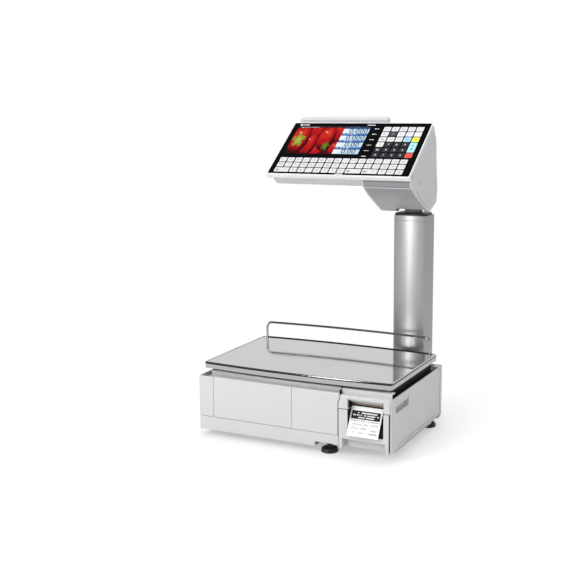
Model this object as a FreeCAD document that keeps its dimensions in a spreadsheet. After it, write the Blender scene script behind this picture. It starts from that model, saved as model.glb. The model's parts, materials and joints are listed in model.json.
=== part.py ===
import FreeCAD, Part
import math
import os
import Sketcher

# Retail price scale: base with weighing tray and label printer, rear column,
# operator console and customer display.
# Millimetres. X runs to the right, Y to the back, Z up; the origin lies on the
# table under the middle of the base.

SIZES = [
    # base housing
    ("base_width", 410, "outside width of the base"),
    ("base_depth", 282, "outside depth of the base"),
    ("foot_height", 14, "underside of the housing above the table"),
    ("skirt_top", 41, "seam between the skirt and the panels above it"),
    ("rim_top", 123, "top edge of the outer panels"),
    ("trough_top", 116, "floor of the trough round the deck"),
    ("deck_top", 131, "top of the raised deck"),
    ("deck_left", -190, "left side of the deck"),
    ("deck_right", 190, "right side of the deck"),
    ("deck_front", -119, "front corners of the deck"),
    ("deck_back", 120, "back of the deck"),
    ("deck_bow", 16, "height of the deck bow's tangent corner"),
    ("deck_radius", 2050, "radius of the deck's bowed front"),
    ("wall", 3, "wall of the moulded housings"),
    ("seam", 0.8, "gap between neighbouring panels"),
    ("corner", 5, "radius of the upright outer corners"),
    ("deck_corner", 8, "radius of the upright deck corners"),
    ("post_hole", 24, "radius of the deck hole for the spider boss"),
    ("wrap_right", -171.3, "where the left cover ends on the front"),
    ("fascia_right", 1.8, "seam between the two front panels"),
    ("bay_left", 99.4, "left side of the printer bay"),
    ("bay_right", 200.2, "right side of the printer bay"),
    ("bay_floor_front", -112, "front edge of the floor below the printer"),
    ("door_inside", 203, "inner face of the side door"),
    ("panel_return", 6, "depth of the folded top edge of the front panels"),
    # printer lintel
    ("lintel_bottom", 94.6, "underside of the fixed beam over the printer"),
    ("lintel_back", -115.4, "back edge of the lintel"),
    ("ledge_top", 121, "ledge of the lintel, below the tray's edge"),
    ("ledge_back", -131, "back of the ledge"),
    ("lintel_top", 131, "top of the lintel"),
    ("kink_low", 107, "lower end of the slanting seam beside the lintel"),
    ("kink_high", 113, "upper end of the slanting seam beside the lintel"),
    ("kink_across", 3.7, "sideways step of the slanting seam"),
    ("mouth_left", 118, "left side of the label mouth"),
    ("mouth_right", 190, "right side of the label mouth"),
    ("mouth_top", 115, "front top edge of the label mouth"),
    ("throat_back", -121, "back of the sloping mouth ceiling"),
    ("throat_top", 104, "lowest point of the mouth ceiling"),
    ("skin", 2.5, "wall of the printer mouldings"),
    # label printer cassette
    ("cassette_left", 103, "left side plate of the printer cassette"),
    ("cassette_right", 188, "right side plate of the printer cassette"),
    ("cassette_front_y", -118, "front edge of the side plates"),
    ("cassette_back", 93, "back edge of the side plates"),
    ("cassette_bottom", 18, "underside of the cassette"),
    ("cassette_top", 92, "top of the side plates"),
    ("sheet", 2, "sheet thickness of the cassette frame"),
    ("face_top", 94, "top of the cassette's front face"),
    ("notch_left", 107.3, "left side of the finger notch"),
    ("notch_right", 193.8, "right side of the finger notch"),
    ("notch_top", 37, "top of the finger notch"),
    ("notch_back", -125, "back wall of the finger notch"),
    ("chute_foot", 46, "lower end of the label chute"),
    ("label_left", 119.5, "left edge of the label"),
    ("label_right", 182.5, "right edge of the label"),
    ("label_tip_y", -149, "free end of the printed label"),
    ("label_tip_z", 47, "free end of the printed label"),
    ("roll_y", 8, "label roll axis"),
    ("roll_z", 56, "label roll axis"),
    ("roll_radius", 34, "radius of the label roll"),
    ("core_radius", 13, "bore radius of the label roll"),
    ("platen_y", -108, "platen roller axis"),
    ("platen_z", 84, "platen roller axis"),
    ("platen_radius", 6, "radius of the platen roller"),
    ("journal", 3, "radius of the roller journals"),
    ("journal_gap", 0.05, "radial clearance of the roller journals"),
    ("pulley", 5, "radius of both belt pulleys"),
    ("pulley_left", 107, "left face of the pulleys"),
    ("pulley_right", 112, "right face of the pulleys"),
    ("motor_z", 56, "motor axis, below the platen"),
    ("motor_half", 13, "half width of the motor"),
    ("motor_left", 115, "face of the motor"),
    ("motor_right", 141, "back of the motor"),
    ("head_y", -84, "print head pivot"),
    ("head_z", 87, "print head pivot"),
    ("head_pin", 2, "radius of the print head pivot"),
    ("spool_y", 70, "take-up spool axis"),
    ("spool_z", 46, "take-up spool axis"),
    ("spool_radius", 15, "radius of the wound backing paper"),
    # electronics
    ("socket_z", 47, "middle height of the rear sockets"),
    ("switch_x", -107, "power switch"),
    ("switch_y", 137, "power switch pivot"),
    ("rocker_barrel", 3.4, "radius of the power switch's round pivot"),
    ("inlet_x", -150, "power inlet"),
    ("board_z", 28, "underside of the main board"),
    # levelling feet
    ("foot_radius", 17, "radius of a levelling foot pad"),
    ("foot_pad", 8, "height of a levelling foot pad"),
    ("stud_radius", 5, "radius of a foot stud"),
    ("stud_top", 37, "top of a foot stud"),
    ("boss_radius", 11, "radius of a foot boss"),
    ("boss_top", 32, "top of a foot boss"),
    ("left_foot_x", -165, "left feet from the middle"),
    ("front_left_foot_y", -85, "front left foot"),
    ("front_right_foot_x", 72, "front right foot, beside the printer"),
    ("front_right_foot_y", -119, "front right foot"),
    ("back_right_foot_x", 188, "back right foot"),
    ("back_foot_y", 106, "back feet"),
    # side door
    ("hinge_x", 201, "door hinge line"),
    ("hinge_y", 127, "door hinge line"),
    ("knuckle", 4, "radius of a door knuckle"),
    ("hinge_pin", 1.5, "radius of the door hinge pin"),
    ("door_bottom", 20, "bottom edge of the door"),
    ("door_top", 121, "top edge of the door"),
    ("door_step", 112.4, "top of the door beside its hinge"),
    ("door_step_y", 115, "where the door's top edge steps down"),
    ("grip_front", -118, "front of the finger recess"),
    ("grip_back", -50, "back of the finger recess"),
    ("grip_low", 90, "bottom of the finger recess"),
    ("grip_high", 110, "top of the finger recess"),
    ("grip_depth", 9, "depth of the finger recess"),
    # weighing mechanism
    ("plate_top", 21, "top of the chassis plate"),
    ("plate_left", -190, "left edge of the chassis plate"),
    ("plate_right", 92, "right edge of the chassis plate"),
    ("plate_half_depth", 124, "half depth of the chassis plate"),
    ("cell_left", -80, "fixed end of the load cell"),
    ("cell_right", 70, "live end of the load cell"),
    ("cell_half", 17, "half width of the load cell"),
    ("cell_bottom", 58, "underside of the load cell"),
    ("cell_top", 82, "top of the load cell"),
    ("cell_seat", 36, "length of the seat under either end of the cell"),
    ("cell_bore", 9, "radius of the two bending bores"),
    ("cell_bore_gap", 24, "distance between the two bending bores"),
    ("boss_x", 51, "spider boss from the middle"),
    ("spider_boss", 15, "radius of the spider boss"),
    ("spider_bottom", 133.5, "underside of the spider arms"),
    ("spider_top", 139.5, "top of the spider arms"),
    ("arm_half", 10, "half width of a spider arm"),
    ("pad_x", 140, "tray pads from the middle, sideways"),
    ("pad_y", 85, "tray pads from the middle, front to back"),
    ("pad_radius", 8, "radius of a tray pad"),
    # tray
    ("tray_width", 400, "width of the tray"),
    ("tray_front", -125.3, "front corners of the tray"),
    ("tray_back", 122.7, "back corners of the tray"),
    ("tray_top", 147.5, "weighing surface"),
    ("tray_rim", 1, "height of the rim bead above the surface"),
    ("rim_width", 3, "width of the rim bead"),
    ("rim_round", 1.8, "rounding of the tray's outer edge"),
    ("tray_flange", 136, "lower edge of the tray flange"),
    ("tray_sheet", 1.2, "sheet thickness of the tray"),
    ("tray_corner", 7, "corner radius of the tray"),
    ("tray_bow", 16, "height of the bow's tangent corner"),
    ("bow_radius", 2250, "radius of the bowed front and back edges"),
    ("rail_wire", 2.3, "radius of the guard rail wire"),
    ("rail_radius", 1900, "plan radius of the bowed rail"),
    ("rail_angle", 5.32, "half angle of the bowed rail, degrees"),
    ("rail_mid_y", 126.5, "middle of the rail bar"),
    ("rail_height", 34, "rail bar centre above the weighing surface"),
    ("rail_bend", 11, "bend radius of the rail corners"),
    # column
    ("column_x", 129.5, "middle of the column"),
    ("column_half", 36.5, "half width of the column"),
    ("column_back", 194, "back face of the column"),
    ("column_shoulder", 148.5, "where the column's curved front starts"),
    ("column_crown", 138.2, "tangent corner of the column's curved front"),
    ("crown_radius", 100, "radius of the column's curved front"),
    ("column_wall", 3, "wall of the column extrusion"),
    ("column_bottom", 20, "lower end of the column"),
    ("column_top", 415, "upper end of the column"),
    ("cap_top", 425, "top of the column cap"),
    ("saddle_half", 31, "half width of the saddle"),
    ("saddle_bottom", 24, "bottom of the saddle"),
    ("saddle_top", 110, "top of the saddle"),
    ("bolt_radius", 4, "radius of a column bolt"),
    ("bolt_low", 42, "lower column bolt"),
    ("bolt_high", 92, "upper column bolt"),
    # console tilt joint
    ("tilt_y", 168, "console tilt axis"),
    ("tilt_z", 449, "console tilt axis"),
    ("tongue_half", 16, "half width of the tilt bracket"),
    ("tongue_thick", 8, "half thickness of the tilt bracket"),
    ("tongue_bottom", 384, "lower end of the tilt bracket"),
    ("tilt_pin", 4, "radius of the tilt pin"),
    ("tilt_gap", 0.05, "radial running clearance"),
    ("lug_inner", 18, "inside of the console lugs from the column's middle"),
    ("lug_outer", 22, "outside of the console lugs from the column's middle"),
    # console
    ("nose_y", 41.9, "front edge of the console panel"),
    ("nose_z", 510.8, "front edge of the console panel"),
    ("console_tilt", 36.47, "slope of the console panel, degrees"),
    ("console_left", -144.5, "left end of the console"),
    ("console_right", 166.5, "right end of the console"),
    ("panel_length", 168, "length of the panel up the slope"),
    ("frame_thick", 6, "thickness of the console frame"),
    ("nose_thick", 13, "thickness of the console's front edge"),
    ("nose_depth", 9, "depth of the console's front edge"),
    ("overlay_edge", 2.2, "width of the frame visible round the overlay"),
    ("overlay_seat", 1.2, "depth of the overlay's seat"),
    ("key_rise", 0.3, "height of an embossed key"),
    ("key_column", 17.6, "key pitch along the console, bottom block"),
    ("key_row", 15.7, "key pitch up the slope, bottom block"),
    ("pad_column", 17.7, "key pitch along the console, right block"),
    ("pad_row", 16.4, "key pitch up the slope, right block"),
    ("key_gap", 2.4, "gap between neighbouring keys"),
    ("keys_left", -131.9, "left end of the bottom key block"),
    ("keys_low", 6.2, "lower edge of the bottom key block"),
    ("keypad_left", 65.2, "left edge of the right key block"),
    ("keypad_low", 56.2, "lower edge of the right key block"),
    ("screen_left", -130.6, "left edge of the operator screen"),
    ("screen_right", 35.6, "right edge of the operator screen"),
    ("screen_low", 66, "lower edge of the operator screen"),
    ("screen_high", 154.5, "upper edge of the operator screen"),
    ("screen_depth", 8, "depth of the screen module"),
    ("pan_left", -136, "left end of the console pan"),
    ("hump_left", 63.5, "left end of the electronics hump"),
    ("cheek", 3, "thickness of a hump cheek"),
    # customer display
    ("pivot_y", 170, "customer display axis"),
    ("pivot_z", 532, "customer display axis"),
    ("display_lean", 10, "lean of the customer display at rest, degrees"),
    ("drum_radius", 28, "radius of the display drum"),
    ("drum_left", -8, "left end of the display drum"),
    ("drum_split", 48, "seam between the fixed and the turning drum"),
    ("spindle", 9, "radius of the display spindle"),
    ("display_left", -140, "left edge of the customer display"),
    ("display_right", 61.5, "right edge of the customer display"),
    ("display_rear", 34, "back of the display from its axis"),
    ("display_front", 51, "front of the display shell from its axis"),
    ("display_high", 82, "top of the display above its axis"),
    ("display_low", -40, "side corners of the display's lower edge"),
    ("display_chin", -52, "tangent corner of the display's lower edge"),
    ("chin_radius", 640, "radius of the display's bowed lower edge"),
    ("bezel_thick", 1.5, "thickness of the display bezel"),
    ("bezel_edge", 3, "shell visible round the bezel"),
    ("bezel_low", -25, "side corners of the bezel's lower edge"),
    ("bezel_chin", -37, "tangent corner of the bezel's lower edge"),
    ("view_half", 85, "half width of the customer screen"),
    ("view_low", -17, "lower edge of the customer screen"),
    ("view_high", 66, "upper edge of the customer screen"),
]

doc = FreeCAD.newDocument("retail_price_scale")
sheet = doc.addObject("Spreadsheet::Sheet", "dims")


class Size:
    """A number together with the sheet expression it comes from."""

    def __init__(self, text, value):
        self.text = text
        self.value = value

    def __add__(self, other):
        return combine(self, "+", other)

    def __radd__(self, other):
        return combine(other, "+", self)

    def __sub__(self, other):
        return combine(self, "-", other)

    def __rsub__(self, other):
        return combine(other, "-", self)

    def __mul__(self, other):
        return combine(self, "*", other)

    def __rmul__(self, other):
        return combine(other, "*", self)

    def __truediv__(self, other):
        return combine(self, "/", other)

    def __neg__(self):
        return combine(0, "-", self)


def as_size(number):
    """Wrap a plain number as a Size."""
    if isinstance(number, Size):
        return number
    return Size("(%r)" % float(number), float(number))


def combine(first, sign, second):
    """Join two numbers by an arithmetic sign."""
    first = as_size(first)
    second = as_size(second)
    results = {
        "+": first.value + second.value,
        "-": first.value - second.value,
        "*": first.value * second.value,
        "/": first.value / second.value if second.value else 0.0,
    }
    return Size("(%s %s %s)" % (first.text, sign, second.text), results[sign])


def sine(angle):
    """Sine of an angle in degrees."""
    return Size("sin(%s * 1deg)" % angle.text, math.sin(math.radians(angle.value)))


def cosine(angle):
    """Cosine of an angle in degrees."""
    return Size("cos(%s * 1deg)" % angle.text, math.cos(math.radians(angle.value)))


class Dims:
    """The sheet's sizes by name."""


d = Dims()
for row, (alias, number, note) in enumerate(SIZES, start=1):
    sheet.set("A%d" % row, alias)
    sheet.set("B%d" % row, str(number))
    sheet.set("C%d" % row, note)
    sheet.setAlias("B%d" % row, alias)
    setattr(d, alias, Size("dims." + alias, float(number)))
doc.recompute()


def bind(thing, prop, size):
    """Bind a property to a sheet expression."""
    thing.setExpression(prop, as_size(size).text)


# ---------------------------------------------------------------- sketches

def rect(left, right, low, high, radius=0):
    """Corners of a rectangle, counter-clockwise."""
    return [
        (left, low, radius),
        (right, low, radius),
        (right, high, radius),
        (left, high, radius),
    ]


def disc(across, up, radius):
    """A circle, told apart from an outline by its name."""
    return ("disc", across, up, radius)


def pin_down(sketch, geometry, across, up, rules, names):
    """Fix a point or circle centre by its two distances from the origin."""
    spot = 3 if sketch.Geometry[geometry].TypeId == "Part::GeomCircle" else 1
    names.append((len(rules), across))
    rules.append(Sketcher.Constraint("DistanceX", -1, 1, geometry, spot, across.value))
    names.append((len(rules), up))
    rules.append(Sketcher.Constraint("DistanceY", -1, 1, geometry, spot, up.value))


def apply_rules(sketch, rules, names):
    """Add the constraints and bind the named ones to the sheet."""
    first = sketch.ConstraintCount
    sketch.addConstraint(rules)
    for index, size in names:
        label = "size_%d" % (first + index)
        sketch.renameConstraint(first + index, label)
        bind(sketch, "Constraints." + label, size)


def draw_disc(sketch, loop):
    """Draw a circle."""
    across, up, radius = [as_size(item) for item in loop[1:]]
    centre = FreeCAD.Vector(across.value, up.value, 0)
    upright = FreeCAD.Vector(0, 0, 1)
    ring = sketch.addGeometry(Part.Circle(centre, upright, radius.value))
    rules = []
    names = []
    pin_down(sketch, ring, across, up, rules, names)
    names.append((len(rules), radius))
    rules.append(Sketcher.Constraint("Radius", ring, radius.value))
    apply_rules(sketch, rules, names)


def corner_shape(before, at, after, radius):
    """Tangent points, centre and turning sense of a rounded corner."""
    back = (before - at).normalize()
    ahead = (after - at).normalize()
    half = back.getAngle(ahead) / 2
    reach = radius / math.tan(half) if radius else 0
    centre = at + (back + ahead).normalize() * (radius / math.sin(half)) if radius else at
    left_turn = ahead.cross(back).z > 0
    return at + back * reach, at + ahead * reach, centre, left_turn


def draw_outline(sketch, loop):
    """Draw a closed outline of straight sides and rounded corners."""
    corners = [tuple(as_size(item) for item in corner) for corner in loop]
    count = len(corners)
    points = [FreeCAD.Vector(x.value, y.value, 0) for x, y, radius in corners]
    shapes = [
        corner_shape(points[i - 1], points[i], points[(i + 1) % count], corners[i][2].value)
        for i in range(count)
    ]
    sides = [
        sketch.addGeometry(Part.LineSegment(shapes[i][1], shapes[(i + 1) % count][0]))
        for i in range(count)
    ]
    pins = [sketch.addGeometry(Part.Point(point), True) for point in points]
    rules = []
    names = []
    for i, (x, y, radius) in enumerate(corners):
        pin_down(sketch, pins[i], x, y, rules, names)
        before, after = sides[i - 1], sides[i]
        if not radius.value:
            rules.append(Sketcher.Constraint("Coincident", before, 2, pins[i], 1))
            rules.append(Sketcher.Constraint("Coincident", after, 1, pins[i], 1))
            continue
        start, end, centre, left_turn = shapes[i]
        if not left_turn:
            start, end = end, start
        angles = [math.atan2(p.y - centre.y, p.x - centre.x) for p in (start, end)]
        circle = Part.Circle(centre, FreeCAD.Vector(0, 0, 1), radius.value)
        arc = sketch.addGeometry(Part.ArcOfCircle(circle, angles[0], angles[1]))
        entry, leave = (1, 2) if left_turn else (2, 1)
        rules.append(Sketcher.Constraint("Tangent", before, 2, arc, entry))
        rules.append(Sketcher.Constraint("Tangent", arc, leave, after, 1))
        names.append((len(rules), radius))
        rules.append(Sketcher.Constraint("Radius", arc, radius.value))
        rules.append(Sketcher.Constraint("PointOnObject", pins[i], 1, before))
        rules.append(Sketcher.Constraint("PointOnObject", pins[i], 1, after))
    apply_rules(sketch, rules, names)


# ---------------------------------------------------------------- bodies

# Sketch plane of each pair of axes, and the sense of its normal along the third axis.
PLANES = {"XY": ("XY_Plane", 1), "XZ": ("XZ_Plane", -1), "YZ": ("YZ_Plane", 1)}


class Piece:
    """One sub-part, built as a PartDesign body."""

    def __init__(self, name):
        self.name = name
        self.body = doc.addObject("PartDesign::Body", name)
        self.body.Label = name

    def lean(self, origin_y, origin_z, angle):
        """Place the body in a frame turned about X."""
        turn = FreeCAD.Rotation(FreeCAD.Vector(1, 0, 0), angle.value)
        self.body.Placement = FreeCAD.Placement(FreeCAD.Vector(0, 0, 0), turn)
        bind(self.body, "Placement.Base.y", origin_y)
        bind(self.body, "Placement.Base.z", origin_z)
        bind(self.body, "Placement.Rotation.Angle", angle)
        return self

    def sketch(self, plane, level, loops, shift=(0, 0)):
        """A sketch on a plane at a level, holding the given loops."""
        role, sense = PLANES[plane]
        sketch = self.body.newObject("Sketcher::SketchObject", self.name + "_sketch")
        features = self.body.Origin.OriginFeatures
        base = [item for item in features if item.Role == role][0]
        sketch.AttachmentSupport = [(base, "")]
        sketch.MapMode = "FlatFace"
        bind(sketch, "AttachmentOffset.Base.x", shift[0])
        bind(sketch, "AttachmentOffset.Base.y", shift[1])
        bind(sketch, "AttachmentOffset.Base.z", sense * as_size(level))
        for loop in loops:
            if loop[0] == "disc":
                draw_disc(sketch, loop)
            else:
                draw_outline(sketch, loop)
        return sketch

    def pad(self, plane, start, end, *loops):
        """Add material from one level to a higher one."""
        feature = self.body.newObject("PartDesign::Pad", self.name + "_pad")
        feature.Profile = self.sketch(plane, start, loops)
        bind(feature, "Length", as_size(end) - start)
        feature.Reversed = PLANES[plane][1] < 0
        return feature

    def cut(self, plane, start, end, *loops):
        """Remove material from one level to a higher one."""
        profile = self.sketch(plane, start, loops)
        feature = self.body.newObject("PartDesign::Pocket", self.name + "_cut")
        feature.Profile = profile
        bind(feature, "Length", as_size(end) - start)
        feature.Reversed = PLANES[plane][1] > 0
        return feature

    def turn_upright(self, x, y, *loops):
        """Revolve outlines of (radius, height) about an upright axis."""
        profile = self.sketch("XZ", y, loops, shift=(x, 0))
        feature = self.body.newObject("PartDesign::Revolution", self.name + "_turn")
        feature.Profile = profile
        feature.ReferenceAxis = (profile, ["V_Axis"])
        feature.Angle = 360
        return feature

    def turn_across(self, y, z, *loops):
        """Revolve outlines of (x, radius) about an axis along X."""
        profile = self.sketch("XZ", y, loops, shift=(0, z))
        feature = self.body.newObject("PartDesign::Revolution", self.name + "_turn")
        feature.Profile = profile
        feature.ReferenceAxis = (profile, ["H_Axis"])
        feature.Angle = 360
        return feature

    def repeat(self, feature, first, second):
        """Repeat a feature in a grid: (axis role, spacing, count) each way."""
        grid = self.body.newObject("PartDesign::MultiTransform", self.name + "_grid")
        grid.Originals = [feature]
        steps = []
        for role, spacing, count in (first, second):
            axes = self.body.Origin.OriginFeatures
            axis = [item for item in axes if item.Role == role][0]
            step = doc.addObject("PartDesign::LinearPattern", self.name + "_step")
            self.body.addObject(step)
            step.Direction = (axis, [""])
            step.Occurrences = count
            bind(step, "Length", spacing * (count - 1))
            steps.append(step)
        grid.Transformations = steps
        self.body.Tip = grid
        return grid

    def soften(self, kind, size, wanted):
        """Fillet or chamfer the tip's edges that pass a test."""
        doc.recompute()
        base = self.body.Tip
        names = [
            "Edge%d" % (index + 1)
            for index, edge in enumerate(base.Shape.Edges)
            if wanted(edge)
        ]
        feature = self.body.newObject("PartDesign::" + kind, self.name + "_" + kind.lower())
        feature.Base = (base, names)
        bind(feature, "Radius" if kind == "Fillet" else "Size", size)
        return feature


def edge_along(axis, **at):
    """Test for straight edges along an axis, at the stated coordinates."""
    def wanted(edge):
        box = edge.BoundBox
        spans = {"x": box.XLength, "y": box.YLength, "z": box.ZLength}
        middle = {"x": box.Center.x, "y": box.Center.y, "z": box.Center.z}
        long_enough = spans[axis] > 0.5
        thin = all(spans[other] < 0.01 for other in "xyz" if other != axis)
        placed = all(abs(middle[key] - as_size(value).value) < 0.05 for key, value in at.items())
        return long_enough and thin and placed
    return wanted


def edges_in_plane(axis, place):
    """Test for every edge that lies in the plane at a place on an axis."""
    def wanted(edge):
        box = edge.BoundBox
        spans = {"x": (box.XMin, box.XMax), "y": (box.YMin, box.YMax), "z": (box.ZMin, box.ZMax)}
        return all(abs(end - as_size(place).value) < 0.01 for end in spans[axis])
    return wanted


half_width = d.base_width / 2
half_depth = d.base_depth / 2
floor_top = d.foot_height + d.wall
rear_inside = half_depth - d.wall
front_inside = d.wall - half_depth
deck_under = d.deck_top - d.wall
trough_under = d.trough_top - d.wall
feet = {
    "foot_front_left": (d.left_foot_x, d.front_left_foot_y),
    "foot_front_right": (d.front_right_foot_x, d.front_right_foot_y),
    "foot_back_left": (d.left_foot_x, d.back_foot_y),
    "foot_back_right": (d.back_right_foot_x, d.back_foot_y),
}

# ---------------------------------------------------------------- base housing

# Lower housing: floor, skirt, rear wall, printer bay wall and foot bosses.
lower = Piece("lower_housing")
lower.pad("XY", d.foot_height, d.skirt_top, rect(-half_width, half_width, -half_depth, half_depth, d.corner))
lower.cut("XY", floor_top, d.skirt_top, rect(
    d.wall - half_width, half_width - d.wall, front_inside, rear_inside, d.corner - d.wall))
lower.cut("XY", d.foot_height, d.skirt_top, rect(
    d.bay_left, half_width + 1, -half_depth - 1, d.bay_floor_front))
lower.cut("XY", floor_top, d.skirt_top, rect(
    half_width - d.wall - 1, half_width + 1, d.bay_floor_front - 1, d.hinge_y + d.knuckle + 0.5))
lower.cut("XY", d.foot_height, floor_top, rect(
    d.door_inside, half_width + 1, d.bay_floor_front - 1, d.hinge_y - 8))
lower.pad("XY", floor_top, trough_under, rect(
    d.wall - half_width, half_width - 9, rear_inside, half_depth))
lower.pad("XY", floor_top, trough_under, rect(
    half_width - 9, half_width, d.hinge_y + d.knuckle + 0.5, half_depth))
lower.pad("XY", floor_top, trough_under, rect(
    d.bay_left - 3.4, d.bay_left - 1, d.bay_floor_front, rear_inside))
lower.pad("XY", floor_top, floor_top + 10,
          rect(d.cassette_left - 2.6, d.cassette_left - 0.2, d.bay_floor_front, d.cassette_back),
          rect(d.cassette_right + 0.2, d.cassette_right + 2.6, d.bay_floor_front, d.back_foot_y - 14))
lower.pad("XY", floor_top, d.boss_top, *[disc(x, y, d.boss_radius) for x, y in feet.values()])
# the skirt is cut away round the front right foot
lower.cut("XY", d.foot_height, d.foot_height + 9, rect(
    d.front_right_foot_x - 21, d.bay_left, -half_depth - 1, d.front_right_foot_y + 21))
lower.pad("XY", d.foot_height + 9, d.foot_height + 12, rect(
    d.front_right_foot_x - 24, d.bay_left - 1, front_inside - 0.5, d.front_right_foot_y + 24))
lower.cut("XY", d.foot_height, d.boss_top, *[
    disc(x, y, d.stud_radius + 0.15) for x, y in feet.values()])
# pockets under the back right foot's corner
lower.cut("XY", d.foot_height, d.foot_height + 1.5, rect(
    d.back_right_foot_x - 19, half_width + 1, d.back_foot_y - 20, d.back_foot_y + 14))
# floor eye for the door pin
lower.cut("XY", d.foot_height, floor_top, disc(d.hinge_x, d.hinge_y, d.hinge_pin + 0.03))
# rear openings: power inlet, ports, column bolts
lower.cut("XZ", rear_inside - 1, half_depth + 1,
          rect(-175, -125, 34, 60, 3), rect(-114, -100, 36, 57, 1), rect(-84, 40, 34, 62, 2),
          disc(d.column_x, d.bolt_low, d.bolt_radius + 0.3),
          disc(d.column_x, d.bolt_high, d.bolt_radius + 0.3))

def deck_outline(inset):
    """Plan of the deck: bowed front edge, straight elsewhere."""
    left = d.deck_left + inset
    right = d.deck_right - inset
    front = d.deck_front + inset
    back = d.deck_back - inset
    corner = d.deck_corner - inset
    return [
        (left, front, corner),
        (0, front - d.deck_bow, d.deck_radius),
        (right, front, corner),
        (right, back, corner),
        (left, back, corner),
    ]


# Upper housing: trough, raised deck and the shoulder over the door hinge.
upper = Piece("upper_housing")
upper.pad("XY", trough_under, d.trough_top, rect(
    d.wall - half_width + d.seam, half_width - d.wall + 0.4,
    front_inside + d.seam, rear_inside + 3, d.corner - d.wall))
upper.pad("XY", d.trough_top, d.deck_top, deck_outline(0))
upper.soften("Fillet", 2.5, edges_in_plane("z", d.deck_top))
upper.cut("XY", trough_under, deck_under, deck_outline(d.wall))
# the deck steps back behind the printer lintel
bay_side = d.bay_left - 0.4
bay_end = d.lintel_back + 0.4
upper.cut("XY", trough_under - 1, d.deck_top + 1, rect(
    bay_side, half_width + 1, -half_depth - 1, bay_end))
upper.pad("XY", trough_under, deck_under + 0.5, rect(
    bay_side, d.deck_right - 0.5, bay_end, bay_end + d.wall))
upper.pad("XY", trough_under, deck_under + 0.5, rect(
    bay_side - d.wall, bay_side, d.deck_front - 4, bay_end + d.wall))
upper.pad("XY", d.trough_top - 0.5, d.rim_top, rect(
    d.wall - half_width + d.seam, half_width, half_depth - 7, half_depth))
upper.pad("XY", trough_under, d.rim_top, rect(
    half_width - 12, half_width, d.door_step_y + 1.2, half_depth))
upper.cut("XY", trough_under - 1, deck_under + 5, disc(d.boss_x, 0, d.post_hole))
upper.cut("XY", trough_under - 1, d.trough_top, disc(-194.3, -122, 5.6))
upper.cut("XY", trough_under - 1, d.trough_top + 3, disc(d.hinge_x, d.hinge_y, d.hinge_pin + 0.03))
upper.soften("Chamfer", 2.5, edge_along("x", y=half_depth, z=d.rim_top))

# Left cover: side wall wrapped round the front corner.
left = Piece("left_side_cover")
left.pad("XY", d.skirt_top + d.seam, d.rim_top, [
    (-half_width, -half_depth, d.corner),
    (d.wrap_right, -half_depth, 0),
    (d.wrap_right, front_inside, 0),
    (d.wall - half_width, front_inside, d.corner - d.wall),
    (d.wall - half_width, rear_inside - d.seam, 0),
    (-half_width, rear_inside - d.seam, 0),
])
left.pad("YZ", d.wall - half_width, d.wall - half_width + 8, rect(
    d.grip_front - 3, d.grip_back + 3, d.grip_low - 3, d.grip_high + 2.5, 3))
left.cut("YZ", -half_width - 1, d.wall - half_width + 6, rect(
    d.grip_front, d.grip_back, d.grip_low, d.grip_high, 5))
left.soften("Fillet", 1.5, edge_along("y", x=-half_width, z=d.rim_top))


def front_panel(name, left_edge, right_edge):
    """A front panel with a folded top edge and two stiffening ribs."""
    panel = Piece(name)
    panel.pad("YZ", left_edge, right_edge, [
        (-half_depth, d.skirt_top + d.seam, 0),
        (front_inside, d.skirt_top + d.seam, 0),
        (front_inside, d.rim_top - d.wall, 0),
        (front_inside + d.panel_return, d.rim_top - d.wall, 0),
        (front_inside + d.panel_return, d.rim_top, 1),
        (-half_depth, d.rim_top, 2.5),
    ])
    third = (right_edge - left_edge) / 3
    for step in (1, 2):
        panel.pad("YZ", left_edge + third * step, left_edge + third * step + 2, rect(
            front_inside - 0.5, front_inside + 4, d.skirt_top + 6, trough_under - 4))
    return panel


front_panel("front_fascia", d.wrap_right + d.seam, d.fascia_right)
# The seam between the blank cover and the printer steps sideways near its top.
blank_right = d.bay_left - 1.2
blank = front_panel("printer_blank_cover", d.fascia_right + d.seam, blank_right + d.kink_across)
blank.cut("XZ", -half_depth - 1, front_inside + d.panel_return + 1, [
    (blank_right, d.skirt_top, 0),
    (blank_right + d.kink_across + 1, d.skirt_top, 0),
    (blank_right + d.kink_across + 1, d.kink_high, 0),
    (blank_right + d.kink_across, d.kink_high, 0),
    (blank_right, d.kink_low, 0),
])

# Lintel: stepped beam over the printer with the label mouth in it.
lintel = Piece("printer_lintel")
beam_left = d.bay_left + 0.4
lintel.pad("YZ", beam_left, half_width - 2.4, [
    (-half_depth, d.lintel_bottom, 0),
    (d.skin - half_depth, d.lintel_bottom, 0),
    (d.skin - half_depth, d.ledge_top - d.skin, 1),
    (d.ledge_back + d.skin, d.ledge_top - d.skin, 1),
    (d.ledge_back + d.skin, d.lintel_top - d.skin, 1),
    (d.lintel_back, d.lintel_top - d.skin, 0),
    (d.lintel_back, d.lintel_top, 0),
    (d.ledge_back, d.lintel_top, 1.5),
    (d.ledge_back, d.ledge_top, 1),
    (-half_depth, d.ledge_top, 3),
])
lintel.cut("XZ", -half_depth - 1, d.lintel_back + 1, [
    (beam_left - 1, d.kink_low, 0),
    (beam_left, d.kink_low, 0),
    (beam_left + d.kink_across, d.kink_high, 0),
    (beam_left + d.kink_across, d.lintel_top + 1, 0),
    (beam_left - 1, d.lintel_top + 1, 0),
])
lintel.pad("YZ", d.mouth_left - d.skin, d.mouth_right + d.skin, [
    (d.skin - half_depth - 0.5, d.lintel_bottom, 0),
    (d.throat_back + d.skin, d.lintel_bottom, 0),
    (d.throat_back + d.skin, d.lintel_top - 1, 0),
    (d.throat_back, d.lintel_top - 1, 0),
    (d.throat_back, d.throat_top + 4, 0),
    (d.skin - half_depth - 0.5, d.mouth_top + 2, 0),
])
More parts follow.
